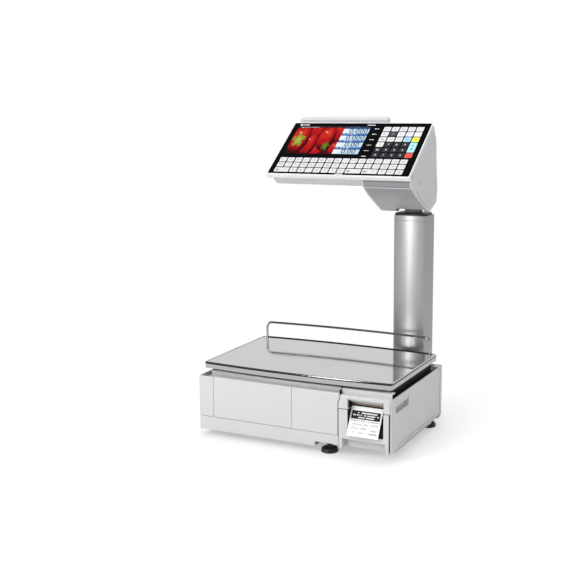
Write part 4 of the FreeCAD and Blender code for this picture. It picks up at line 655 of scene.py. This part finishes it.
HOUSING = moulded("housing_grey", (0.565, 0.57, 0.575))
SILVER = moulded("console_silver", (0.60, 0.61, 0.62), rough=0.34, grain=0.14)
FRAME = moulded("frame_silver", (0.74, 0.745, 0.75), rough=0.3, grain=0.12)
CHEEK = moulded("cheek_silver", (0.565, 0.57, 0.58), rough=0.36, grain=0.14)
# The hump's silver underside, darkened as painted shade under the console and turning lighter towards the bottom as
# painted bounce light.
SHADED_BELLY = moulded("hump_silver_painted_shade", (0.27, 0.275, 0.285), rough=0.4, grain=0.14,
                lower=((0.45, 0.455, 0.465), 0.43, 0.50))
DECK = moulded("deck_grey", (0.52, 0.525, 0.53), rough=0.46)
DRUM = moulded("drum_grey", (0.20, 0.205, 0.215), rough=0.45)
BLACK = moulded("black_plastic", (0.016, 0.016, 0.018), rough=0.4, grain=0.35)
GLOSS = moulded("gloss_black", (0.006, 0.006, 0.007), rough=0.14, grain=0.02, specular=0.4)
STEEL = metal("steel", (0.50, 0.50, 0.51), 0.34, (0.05, 1.0, 1.0))
TEAR = metal("tear_steel", (0.33, 0.27, 0.235), 0.3, (0.03, 1.0, 1.0))
ALLOY = metal("alloy", (0.62, 0.62, 0.63), 0.36, (1.0, 1.0, 0.05))
CAST = metal("cast_alloy", (0.12, 0.12, 0.125), 0.48, (1.0, 1.0, 1.0), streak=0.2, relief=0.3)
CHROME = metal("chrome_wire", (0.60, 0.60, 0.61), 0.08, (0.02, 1.0, 1.0), streak=0.03, relief=0.02)
STAINLESS = metal("stainless_tray", (0.80, 0.80, 0.80), 0.075, (0.015, 1.0, 1.0), streak=0.04, relief=0.025)
COLUMN = column_metal("brushed_column")
RUBBER = rubber("rubber", ribs=2.2)
BOARD = circuit_board("circuit_board")
OVERLAY = film("overlay_black", (0.004, 0.004, 0.005), rough=0.24, specular=0.15)
LABEL_PAPER = printed_paper("label_paper", LABEL, LABEL_HIGH.x * 1000 - LABEL_LOW.x * 1000, LABEL_LENGTH)
ROLL_PAPER = wound_paper("roll_paper", roll_axis.y, roll_axis.z)
VIAL = spirit_level("spirit_level", *low_high("level_bubble"))
OPERATOR_SCREEN = lit_screen("operator_picture", operator_picture, SLOPE, *SCREEN_X, *SCREEN_S)
CUSTOMER_SCREEN = lit_screen(
    "customer_picture", customer_picture, DISPLAY,
    -customer_high.x * 1000, -customer_low.x * 1000, -17.0, 66.0)

LOOKS = {
    "housing_grey": HOUSING, "deck_grey": DECK, "console_silver": SILVER, "drum_grey": DRUM,
    "black_plastic": BLACK, "overlay_black": OVERLAY, "stainless": STAINLESS, "chrome_wire": CHROME,
    "steel": STEEL, "tear_steel": TEAR, "alloy": COLUMN, "cell_alloy": ALLOY, "rubber": RUBBER,
    "circuit": BOARD, "vial": VIAL,
}
NODE_LOOKS = {
    "operator_screen": OPERATOR_SCREEN, "customer_screen": CUSTOMER_SCREEN, "printed_label": LABEL_PAPER,
    "label_roll": ROLL_PAPER, "display_bezel": GLOSS, "left_cheek": CHEEK, "right_cheek": CHEEK,
    "hump_shell": SHADED_BELLY, "tilt_bracket": CAST, "console_frame": FRAME,
}
for part in frame["record"]["subparts"]:
    node = frame["nodes"][part["node"]]
    look = NODE_LOOKS.get(part["node"]) or LOOKS[part["material_slot"]]
    for slot in node.material_slots:
        slot.material = look


# ---- keys and print on the console

def key_box(grid, column, row, columns=1, rows=1):
    """(x0, x1, s0, s1) of a key that covers whole cells of its grid."""
    half = KEY_GAP / 2
    left = grid["x"] + column * grid["column"]
    low = grid["s"] + row * grid["row"]
    return (left + half, left + columns * grid["column"] - half, low + half, low + rows * grid["row"] - half)


LEGEND_LOW = ((0.05, 0.05, 0.055), KEYS)
LEGEND_PAD = ((0.05, 0.05, 0.055), KEYPAD)
LEGEND_LIGHT = ((0.6, 0.6, 0.62), KEYPAD)
WHITE_KEY = (0.66, 0.66, 0.67)
wide = {0: 2, 9: 2, 11: 2}
low_keys, column = [], 0
while column < 16:
    low_keys.append(key_box(KEYS, column, 0, wide.get(column, 1)))
    column += wide.get(column, 1)
low_keys += [key_box(KEYS, column, row) for row in (1, 2) for column in range(16)]

# Keypad rows from the lowest: each letter is a key colour.
KEYPAD_ROWS = ("ddddr", "ddddt", "cddd-", "wwwby", "wgplp", "wwwww")
PAD_COLOURS = {
    "w": ("white", WHITE_KEY, LEGEND_PAD), "d": ("dark", (0.030, 0.032, 0.038), None),
    "g": ("slate", (0.05, 0.055, 0.065), LEGEND_LIGHT), "c": ("cream", (0.72, 0.70, 0.64), LEGEND_PAD),
    "r": ("red", (0.80, 0.085, 0.065), LEGEND_PAD), "t": ("aqua", (0.38, 0.72, 0.80), None),
    "b": ("blue", (0.36, 0.62, 0.88), LEGEND_PAD), "y": ("yellow", (0.84, 0.82, 0.09), LEGEND_PAD),
    "p": ("pink", (0.80, 0.72, 0.76), LEGEND_PAD), "l": ("lilac", (0.68, 0.72, 0.84), LEGEND_PAD),
}


def key_tops(keys):
    def build(bm):
        for x0, x1, s0, s1 in keys:
            slab(bm, SLOPE, x0, x1, s0, s1, -0.1, 0.4, 1.3, 0.3, 0.12)
    return build


def keys(title, colour, legend, boxes):
    look = film("key_" + title, colour, 0.34, 0.35, legend)
    piece("keys_" + title, "console", look, key_tops(boxes))


keys("items", WHITE_KEY, LEGEND_LOW, low_keys)
for letter, (title, colour, legend) in PAD_COLOURS.items():
    keys(title, colour, legend, [key_box(KEYPAD, c, r, 1, 2 if letter == "t" else 1)
                                 for r, line in enumerate(KEYPAD_ROWS) for c, kind in enumerate(line)
                                 if kind == letter])

PRINT_WHITE = film("print_white", (0.80, 0.80, 0.81), 0.4)
PRINT_DARK = film("print_dark", (0.02, 0.02, 0.024), 0.4)
for text, c, r in (("7", 1, 2), ("8", 2, 2), ("9", 3, 2), ("4", 1, 1), ("5", 2, 1), ("6", 3, 1),
                   ("0", 0, 0), ("1", 1, 0), ("2", 2, 0), ("3", 3, 0)):
    x0, x1, s0, s1 = key_box(KEYPAD, c, r)
    number("keypad_digit_" + text, text, SLOPE, (x0 + x1) / 2, (s0 + s1) / 2, 5.2, "console", PRINT_WHITE, 0.9,
           0.05)


def marks(name, material, boxes, low, high):
    """Printed bars on the console's slope."""
    def build(bm):
        for x0, x1, y0, y1 in boxes:
            slab(bm, SLOPE, x0, x1, y0, y1, low, high, min(0.3, (y1 - y0) * 0.4, (x1 - x0) * 0.4), 0.03)
    piece(name, "console", material, build)


def mark_boxes():
    """Small light legends of the six soft keys between the screen and the keypad."""
    boxes = []
    for k, parts in enumerate((
            ((-4.5, 4.5),), ((-1.2, 1.2), (-5, -2.6), (2.6, 5)), ((-1.6, 1.6), (-5, -3.2), (3.2, 5)),
            ((-4.5, -0.6), (0.6, 4.5)), ((-4.8, 1.6), (2.6, 4.4)), ((-4.2, 1.2), (2.2, 4.8)))):
        s = 60.5 + 17.4 * k
        boxes += [(50.4 + a, 50.4 + b, s - 1.0, s + 1.0) for a, b in parts]
    return boxes


marks("soft_key_marks", PRINT_WHITE, mark_boxes(), -0.35, -0.2)
# Blank plates above the screen.
marks("blank_plate", PRINT_WHITE, [
    (-128.0, -122.0, 157.5, 161.5), (-120.0, -106, 158.2, 160.6), (26, 44, 158.4, 160.4)], -0.35, -0.2)
# Square marks on the wide keys, and the arrows of the tall one.
wide_marks = [(x0 + 4, x0 + 7.2, s0 + 4.2, s0 + 7.4) for x0, x1, s0, s1 in low_keys[:13] if x1 - x0 > 20]
x0, x1, s0, s1 = key_box(KEYPAD, 4, 1, 1, 2)
middle = (x0 + x1) / 2
wide_marks += [(middle - half, middle + half, s0 + low, s0 + high)
               for half, low, high in ((1.6, 19, 22), (2.6, 8, 9.4), (2.6, 11, 12.4))]
marks("wide_key_marks", PRINT_DARK, wide_marks, 0.2, 0.34)
x0, x1, s0, s1 = key_box(KEYPAD, 0, 1)
middle = (s0 + s1) / 2
marks("clear_key_marks", PRINT_WHITE, [
    (x0 + 4.5, x1 - 4.5, middle + k - 0.4, middle + k + 0.4) for k in (-1.6, 0, 1.6)], 0.2, 0.34)

PRICE_INK = film("price_ink", (0.012, 0.03, 0.10), 0.4)
for k, text in enumerate(("0.00", "0.00", "0.000", "0.000")):
    y = SCREEN_S[0] + (k + 0.34) * (SCREEN_S[1] - SCREEN_S[0]) / 4
    number("price_field_" + str(k + 1), text, SLOPE, SCREEN_X[1] - 23.0, y, 14.0, "console", PRICE_INK, 0.0,
           0.06)

# Small tab on the front edge that pulls out the key legends.
piece("legend_tab", "console", SILVER,
      lambda bm: slab(bm, SLOPE, 8.0, 25.0, 0.9, 5.0, -0.6, 0.9, 1.6, 0.6))


# ---- screws and small hardware

RIGHT = Plane((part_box("right_cheek")[1][0], 0, 0), (0, 1, 0), (0, 0, 1))


def screws(name, body, plane, places, radius, high):
    def build(bm):
        for x, y in places:
            screw(bm, plane, x, y, radius, high)
    piece(name, body, STEEL, build)


screws("cheek_screws", "console", RIGHT, [(106.0, 493.2), (161.0, 451.2)], 2.0, 0.7)


def many(name, body, material, boxes, plane, low, high, radius=1.0, ease=0.3):
    """Several rounded plates on one plane as one piece."""
    def build(bm):
        for x0, x1, y0, y1 in boxes:
            size = min(radius, (x1 - x0) * 0.45, (y1 - y0) * 0.45)
            slab(bm, plane, x0, x1, y0, y1, low, high, size, min(ease, (high - low) * 0.5))
    return piece(name, body, material, build)


base_low, base_high = low_high("lower_housing")
FRONT = Plane((0, base_low.y, 0), (1, 0, 0), (0, 0, 1))
REAR = Plane((0, base_high.y, 0), (-1, 0, 0), (0, 0, 1))
SIDE = Plane((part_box("side_door")[1][0], 0, 0), (0, 1, 0), (0, 0, 1))
BELOW = Plane((0, 0, base_low.z), (1, 0, 0), (0, -1, 0))
SEAM = film("seam_shadow", (0.012, 0.012, 0.013), 0.7, 0.1)
COPPER = metal("contact_gold", (0.75, 0.55, 0.22), 0.3, (0.1, 1.0, 1.0))

# Column head: black boot round the tilt bracket, with its four clamp screws.
cap_high = low_high("column_top_cap")[1]
CAP = Plane((PIVOTS["console_tilt"].x, PIVOTS["console_tilt"].y, cap_high.z), (1, 0, 0), (0, 1, 0))
piece("neck_boot", "base", BLACK, lambda bm: stack(bm, CAP, 0, 0, [
    (rounded(-34, 34, -23, 23, 9), -0.5), (rounded(-34, 34, -23, 23, 9), 3.4),
    (rounded(-33, 33, -22, 22, 8), 4.5), (rounded(-31, 31, -20, 20, 7), 4.9)]))
screws("neck_screws", "base", CAP, [(-24.5, -16.0), (22.5, -16.0), (-24.5, 13.0), (22.5, 13.0)], 2.8, 5.6)

# Hump: arc seam on the right cheek and the step under the console's front edge.
piece("cheek_seam", "console", SEAM, lambda bm: tube(bm, [RIGHT.at(y, z, -0.12) for y, z in (
    (84, 480.5), (92, 473.5), (101, 466.5), (111, 460), (122, 454), (134, 448.5), (145, 444), (150, 442.3))],
    0.4, 8))
hump_low, hump_high = low_high("hump_shell")
piece("hump_step", "console", HOUSING, lambda bm: tube(
    bm, [(x, 0.0566, 0.4876) for x in (hump_low.x + 0.0004, hump_high.x - 0.0004)], 0.9, 16))

# Side door: grip lip, a painted shadow standing for a lower groove, and hinge caps.
many("door_grip_lip", "door", HOUSING, [(-117.5, -54, 104.5, 110.5)], SIDE, -6.0, 0.9, 2.8, 0.9)
many("door_groove_shadow", "door", SEAM, [(-104, 96, 26.2, 26.9)], SIDE, -0.2, 0.04, 0.2, 0.02)
many("door_hinge_caps", "door", HOUSING, [
    (117.5, 121.5, 24, 34), (117.5, 121.5, 98, 108)], SIDE, -0.3, 0.35, 1.4, 0.3)

# Tray: painted dark line under the rim, standing for the shade and dark reflection at the folded edge, and the same
# along the back inside it.
tray_low, tray_high = low_high("tray")
TRAY_HALF = 200.0
TRAY_SWEEP = 4500.0     # the front and back edges bow by x * x / TRAY_SWEEP


def tray_edge(inset, corner=7.0):
    """Plan of the tray's outer edge, in millimetres: front and right side, then the same turned round."""
    low, high = tray_low.y * 1000 + inset, tray_high.y * 1000 - inset
    flat = TRAY_HALF - inset - corner
    ends = flat * flat / TRAY_SWEEP
    points = [(x, low + x * x / TRAY_SWEEP) for x in (flat * (k / 12.0 - 1.0) for k in range(25))]
    for cy, start in ((low + ends + corner, -90), (high - ends - corner, 0)):
        turn = [math.radians(start + 15 * k) for k in range(1, 6)]
        points += [(flat + corner * math.cos(a), cy + corner * math.sin(a)) for a in turn]
    return points + [(-x, low + high - y) for x, y in points]


# Near-black metal used only as painted shade and dark reflection on the tray's rim.
RIM_PAINTED_SHADE = metal("tray_rim_painted_shade", (0.045, 0.045, 0.048), 0.3, (0.05, 0.05, 1.0), streak=0.1, relief=0.05)
piece("tray_rim_shade_line", "weighing_tray", RIM_PAINTED_SHADE, lambda bm: tube(
    bm, [(x * MM, y * MM, tray_high.z - 0.0028) for x, y in tray_edge(0.3)], 1.4, 10, closed=True))
piece("tray_back_shade_line", "weighing_tray", RIM_PAINTED_SHADE, lambda bm: tube(
    bm, [(x * MM, tray_high.y - 0.0034 - x * x / TRAY_SWEEP * MM, tray_high.z - 0.0004)
         for x in (-190 + 15.833 * k for k in range(25))], 1.3, 10))

# Painted shade: black plates along the deck's right side and on the trough floor beside it, and dark plates behind
# the label where the chute lies in shadow.
DECK_SIDE = Plane((0.190, 0, 0), (0, 1, 0), (0, 0, 1))
TROUGH = Plane((0, 0, 0.116), (1, 0, 0), (0, 1, 0))
# Near-black rubber, used as painted shade in shadowed gaps.
SHADE_FOAM = rubber("shade_foam", 0.012)
many("deck_side_shade", "base", SHADE_FOAM, [(-110, 112, 116.2, 129.5)], DECK_SIDE, -0.3, 1.6, 1.0, 0.4)
many("trough_shade", "base", SHADE_FOAM, [(190.5, 201.6, -112, 112)], TROUGH, -0.3, 0.8, 1.0, 0.3)
CHUTE = Plane((0, base_low.y, 0.046), (1, 0, 0), (0, 20, 48))
many("chute_shade", "cassette", SEAM, [(118.4, 189.6, 0.6, 51.0)], CHUTE, -0.2, 0.25, 0.6, 0.1)


def both_sides(bm, outline):
    """The same thin dark plate of painted shade against the left and the right side of the chute."""
    for x, inner, outer in ((0.118, -0.1, 0.25), (0.190, -0.25, 0.1)):
        stack(bm, Plane((x, 0, 0), (0, 1, 0), (0, 0, 1)), 0, 0, [(outline, inner), (outline, outer)])


def mouth_shade(bm):
    both_sides(bm, [(-136, 94.9), (-118.8, 94.9), (-118.8, 103.6), (-121, 104), (-136, 111.8)])
    slab(bm, FRONT, 118.2, 189.8, 94.8, 103.4, -22.4, -21.6, 0.4, 0.1)


# Painted shade: dark plates on the chute's sides and inside the printer's mouth, where they lie in shadow.
piece("chute_sides", "cassette", SEAM, lambda bm: both_sides(bm, [(-139.6, 49.2), (-121.2, 93.6), (-139.6, 93.6)]))
piece("mouth_shade", "base", SEAM, mouth_shade)
# A black block at the right end of the finger notch, making that end dark.
many("notch_end_black", "cassette", BLACK, [(189.0, 193.6, 28.5, 36.8)], FRONT, -16.3, -13.8, 0.6, 0.3)
many("face_seam", "base", SEAM, [
    (100.2, 117.8, 93.7, 94.9), (190.2, 200.2, 93.7, 94.9)], FRONT, -2.0, 0.05, 0.2, 0.02)
kink = [(98.3, 20), (99.7, 20), (99.7, 107), (103.4, 113), (103.4, 129), (102.0, 129), (102.0, 113.4), (98.3, 107.4)]
piece("panel_seam", "base", SEAM, lambda bm: stack(bm, FRONT, 0, 0, [(kink, -6.0), (kink, -1.0)]))
many("door_gap_seal", "base", SHADE_FOAM, [(200.4, 202.8, 21, 93.5)], FRONT, -9.0, -3.4, 0.6, 0.3)

# Under the base: screws and moulded pads.
screws("base_screws", "base", BELOW, [(x, y) for x in (-182, -60, 60) for y in (-112, 0, 112)], 3.2, 1.4)
many("base_pads", "base", BLACK, [(-120, -80, -18, 18), (20, 60, -60, -24)], BELOW, -0.2, 1.0, 3.0, 0.5)

# Rear: rating plate with plain lines, vent slots, screws and sockets.
PLATE = film("rating_plate", (0.62, 0.62, 0.63), 0.4)
many("rear_plate", "base", PLATE, [(-6, 52, 74, 104)], REAR, -0.1, 0.3, 1.5, 0.1)
many("rear_plate_lines", "base", PRINT_DARK, [
    (0, 30, 97, 98.4), (0, 44, 92.5, 93.6), (0, 38, 89, 90.1), (0, 41, 85.5, 86.6), (0, 24, 82, 83.1),
    (0, 34, 78.5, 79.6)], REAR, 0.25, 0.36, 0.2, 0.02)
many("rear_vents", "base", SEAM, [(72 + 7 * k, 75 + 7 * k, 74, 102) for k in range(11)], REAR, -0.2, 0.06, 1.4, 0.02)
screws("rear_screws", "base", REAR, [
    (-196, 30), (-196, 104), (196, 30), (196, 104), (-88, 66), (60, 66)], 2.8, 1.2)
PORTS = Plane((0, low_high("connector_panel")[1].y, 0), (-1, 0, 0), (0, 0, 1))
many("port_shells", "base", STEEL, [
    (54.5, 73.5, 39.5, 55.5), (32.5, 51.5, 39.5, 55.5)], PORTS, -4.0, 0.6, 1.0, 0.3)
many("port_mouths", "base", SEAM, [(56, 72, 41, 54), (34, 50, 41, 54)], PORTS, 0.3, 0.66, 0.6, 0.02)
many("port_contacts", "base", COPPER, [
    (x + 2.0 + 1.5 * k, x + 2.8 + 1.5 * k, 49.5, 53.4) for x in (56, 34) for k in range(8)],
    PORTS, 0.5, 0.8, 0.2, 0.05)
many("usb_tongues", "base", BLACK, [(15, 27, 46.6, 48.6), (-3, 9, 46.6, 48.6)], PORTS, -9.0, -0.8, 0.4, 0.2)
screws("port_screws", "base", PORTS, [(78, 37), (78, 59), (-34, 37), (-34, 59)], 1.8, 0.8)
inlet_low, inlet_high = low_high("power_inlet")
inlet = (inlet_low + inlet_high) / 2
INLET = Plane((inlet.x, inlet_high.y, inlet.z), (-1, 0, 0), (0, 0, 1))
screws("inlet_screws", "base", INLET, [(-26, 0), (26, 0)], 2.2, 0.9)


# Main board: packages, capacitors, sockets and the loom to the column.
BOARD_TOP = Plane((0, 0, low_high("main_board")[0].z + 0.0068), (1, 0, 0), (0, 1, 0))
many("board_packages", "base", BLACK, [
    (-60, -32, 62, 90), (-10, 8, 60, 78), (-110, -90, 66, 86)], BOARD_TOP, -4.6, -1.2, 0.6, 0.2)
many("board_small_parts", "base", BLACK, [
    (-140 + 9.5 * k, -135 + 9.5 * k, 102 + (k % 3) * 3.5, 105 + (k % 3) * 3.5) for k in range(15)],
    BOARD_TOP, -5.2, -3.6, 0.3, 0.15)
many("board_sockets", "base", film("socket_white", (0.78, 0.76, 0.70), 0.45), [
    (-84, -66, 46, 52), (-24, 0, 44, 50), (12, 30, 46, 52), (-124, -112, 94, 106)], BOARD_TOP, -5.2, 1.8, 0.8, 0.3)


def capacitors(bm):
    for x, y in ((-24, 100), (-38, 104), (36, 64), (44, 78), (30, 82)):
        stack(bm, BOARD_TOP, x, y, [
            (circle(r, 24), n) for r, n in ((4.4, -5.2), (4.4, 4.6), (4.0, 5.2), (3.4, 5.0))])


piece("board_capacitors", "base", metal("can", (0.55, 0.56, 0.60), 0.3, (1.0, 1.0, 0.1)), capacitors)


def sweep(points, count=10):
    """Points of a smooth curve through a few control points, in metres."""
    knots = [Vector(p) * MM for p in points]
    knots = [knots[0]] + knots + [knots[-1]]
    made = []
    for a, b, c, d in zip(knots, knots[1:], knots[2:], knots[3:]):
        for t in (j / count for j in range(count)):
            bend, twist = 2 * a - 5 * b + 4 * c - d, 3 * b - a - 3 * c + d
            made.append(0.5 * ((2 * b) + (c - a) * t + bend * t * t + twist * t ** 3))
    return made + [knots[-1]]


for k, (shade, colour) in enumerate((("red", (0.45, 0.02, 0.015)), ("black", (0.015, 0.015, 0.016)),
                                     ("white", (0.6, 0.6, 0.58)), ("blue", (0.02, 0.07, 0.35)))):
    route = sweep([(-78 + 3 * k, 49, 36), (-74 + 3 * k, 34, 44 + k), (-20, 26 + 2.4 * k, 40),
                   (40, 34 + 2.4 * k, 34), (74, 90, 34 + 2.2 * k), (78, 122, 36 + 2.2 * k)])
    piece("loom_" + shade, "base", film("wire_" + shade, colour, 0.4), lambda bm: tube(bm, route, 1.1, 10))

# Label roll: the cardboard core standing a little out of its right end.
ROLL_END = Plane((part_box("label_roll")[1][0], roll_axis.y, roll_axis.z), (0, 1, 0), (0, 0, 1))


def core_tube(bm):
    inner, outer = circle(13.0, 48), circle(14.6, 48)
    stack(bm, ROLL_END, 0, 0, [(inner, -1.0), (inner, 0.5), (outer, 0.5), (outer, -1.0)], start=False, end=False)


piece("roll_core", "paper_roll", film("core_board", (0.42, 0.30, 0.17), 0.7, 0.2), core_tube)


# ---- studio

def floor_material():
    """White sweep that fades into the backdrop away from the object."""
    g = Graph("studio_floor")
    x, y, _ = g.axes()
    reach = g.reach(x, y - 0.03)
    seen = g.add("ShaderNodeLightPath")
    far = reach.ramp(0.24, 0.52, 0.40, 1.0) * Value(g, seen.outputs["Is Camera Ray"])
    mirrored = Value(g, seen.outputs["Is Glossy Ray"])
    speck = g.noise(30.0, 2.0)
    glow = g.add("ShaderNodeEmission")
    glow.inputs["Color"].default_value = (1.0, 1.0, 1.0, 1.0)
    blend = g.add("ShaderNodeMixShader")
    g.finish(Base_Color=g.mix(grey(0.90), grey(0.92), speck), Roughness=0.9, Specular_IOR_Level=0.0)
    g.feed(blend.inputs[0], far + mirrored * 0.85)
    g.feed(glow.inputs["Strength"], mirrored * -0.52 + 1.0)
    g.tree.links.new(g.shader.outputs[0], blend.inputs[1])
    g.tree.links.new(glow.outputs[0], blend.inputs[2])
    out = next(n for n in g.tree.nodes if n.type == "OUTPUT_MATERIAL")
    g.tree.links.new(blend.outputs[0], out.inputs["Surface"])
    return g.material


def studio():
    mesh = bpy.data.meshes.new("studio_floor")
    mesh.from_pydata([Vector((x, y, -0.0002)) for x, y in circle(40.0, 96)], [], [list(range(96))])
    mesh.materials.append(floor_material())
    floor = bpy.data.objects.new("studio_floor", mesh)
    bpy.context.scene.collection.objects.link(floor)


def surroundings():
    """White behind the object, an even glow on it, and a room with a dark ceiling in its reflections."""
    world = bpy.data.worlds.new("studio")
    bpy.context.scene.world = world
    world.use_nodes = True
    tree = world.node_tree
    tree.nodes.clear()
    node, link = tree.nodes.new, tree.links.new
    place = node("ShaderNodeTexCoord")
    split = node("ShaderNodeSeparateXYZ")
    path = node("ShaderNodeLightPath")
    out = node("ShaderNodeOutputWorld")
    link(place.outputs["Generated"], split.inputs[0])

    half = node("ShaderNodeMath")
    half.operation = "MULTIPLY_ADD"
    link(split.outputs["Y"], half.inputs[0])
    half.inputs[1].default_value = 0.5
    half.inputs[2].default_value = 0.5

    def graded(source, steps):
        ramp = node("ShaderNodeValToRGB")
        link(source, ramp.inputs[0])
        elements = ramp.color_ramp.elements
        while len(elements) < len(steps):
            elements.new(0.5)
        for element, (position, level) in zip(elements, steps):
            element.position = position
            element.color = (level, level, level * 1.01, 1.0)
        return ramp.outputs[0]

    def backdrop(steps):
        room = node("ShaderNodeBackground")
        link(graded(split.outputs["Z"], steps), room.inputs["Color"])
        return room

    def either(choice, no, yes):
        blend = node("ShaderNodeMixShader")
        link(path.outputs[choice], blend.inputs[0])
        link(no.outputs[0], blend.inputs[1])
        link(yes.outputs[0], blend.inputs[2])
        return blend

    glow = backdrop(((0.0, 0.34), (0.5, 0.40), (1.0, 0.50)))
    mirror = backdrop(((0.0, 0.78), (0.30, 0.72), (0.44, 0.60), (0.52, 0.10), (0.80, 0.03), (1.0, 0.03)))
    link(graded(half.outputs[0], ((0.0, 0.30), (0.45, 0.38), (0.72, 1.0))), mirror.inputs["Strength"])
    plain = backdrop(((0.0, 1.0), (1.0, 1.0)))
    shown = either("Is Camera Ray", either("Is Glossy Ray", glow, mirror), plain)
    link(shown.outputs[0], out.inputs["Surface"])


def softbox(name, place, aim, width, height, power, mirrored=True):
    light = bpy.data.lights.new(name, "AREA")
    light.shape = "RECTANGLE"
    light.size, light.size_y = width, height
    light.energy = power
    lamp = bpy.data.objects.new(name, light)
    lamp.location = place
    lamp.rotation_euler = (Vector(aim) - Vector(place)).to_track_quat("-Z", "Y").to_euler()
    lamp.visible_camera = False
    lamp.visible_glossy = mirrored
    bpy.context.scene.collection.objects.link(lamp)


def camera():
    """At the operator's right, a little above the console: 27 degrees round and 10.7 down."""
    yaw, pitch, roll = math.radians(27.002), math.radians(10.651), math.radians(-0.564)
    ahead = Vector((-math.sin(yaw) * math.cos(pitch), math.cos(yaw) * math.cos(pitch), -math.sin(pitch)))
    side = Vector((math.cos(yaw), math.sin(yaw), 0.0))
    up = side.cross(ahead)
    right = side * math.cos(roll) + up * math.sin(roll)
    top = up * math.cos(roll) - side * math.sin(roll)
    data = bpy.data.cameras.new("camera")
    data.lens, data.sensor_width = 63.94, 36.0
    data.clip_start, data.clip_end = 0.05, 100.0
    view = bpy.data.objects.new("camera", data)
    turn = Matrix((right, top, -ahead)).transposed().to_4x4()
    view.matrix_world = Matrix.Translation((0.86763, -1.83271, 0.66425)) @ turn
    bpy.context.scene.collection.objects.link(view)
    bpy.context.scene.camera = view


studio()
surroundings()
softbox("key_light", (-0.65, -1.85, 1.75), (0, 0, 0.2), 1.3, 1.3, 28.0, False)
softbox("top_light", (0.1, 0.3, 2.2), (0, 0, 0), 1.6, 1.2, 20.0, False)
softbox("fill_light", (1.9, -0.6, 1.1), (0, 0, 0.3), 1.0, 1.4, 8.4, False)
softbox("rear_light", (-0.4, 2.0, 1.5), (0, 0, 0.4), 1.4, 1.0, 14.0, False)
softbox("strip_light", (-0.30, -1.15, 0.45), (0.131, 0.14, 0.30), 0.22, 0.8, 3.2)
camera()
bpy.context.scene.view_settings.view_transform = "Standard"
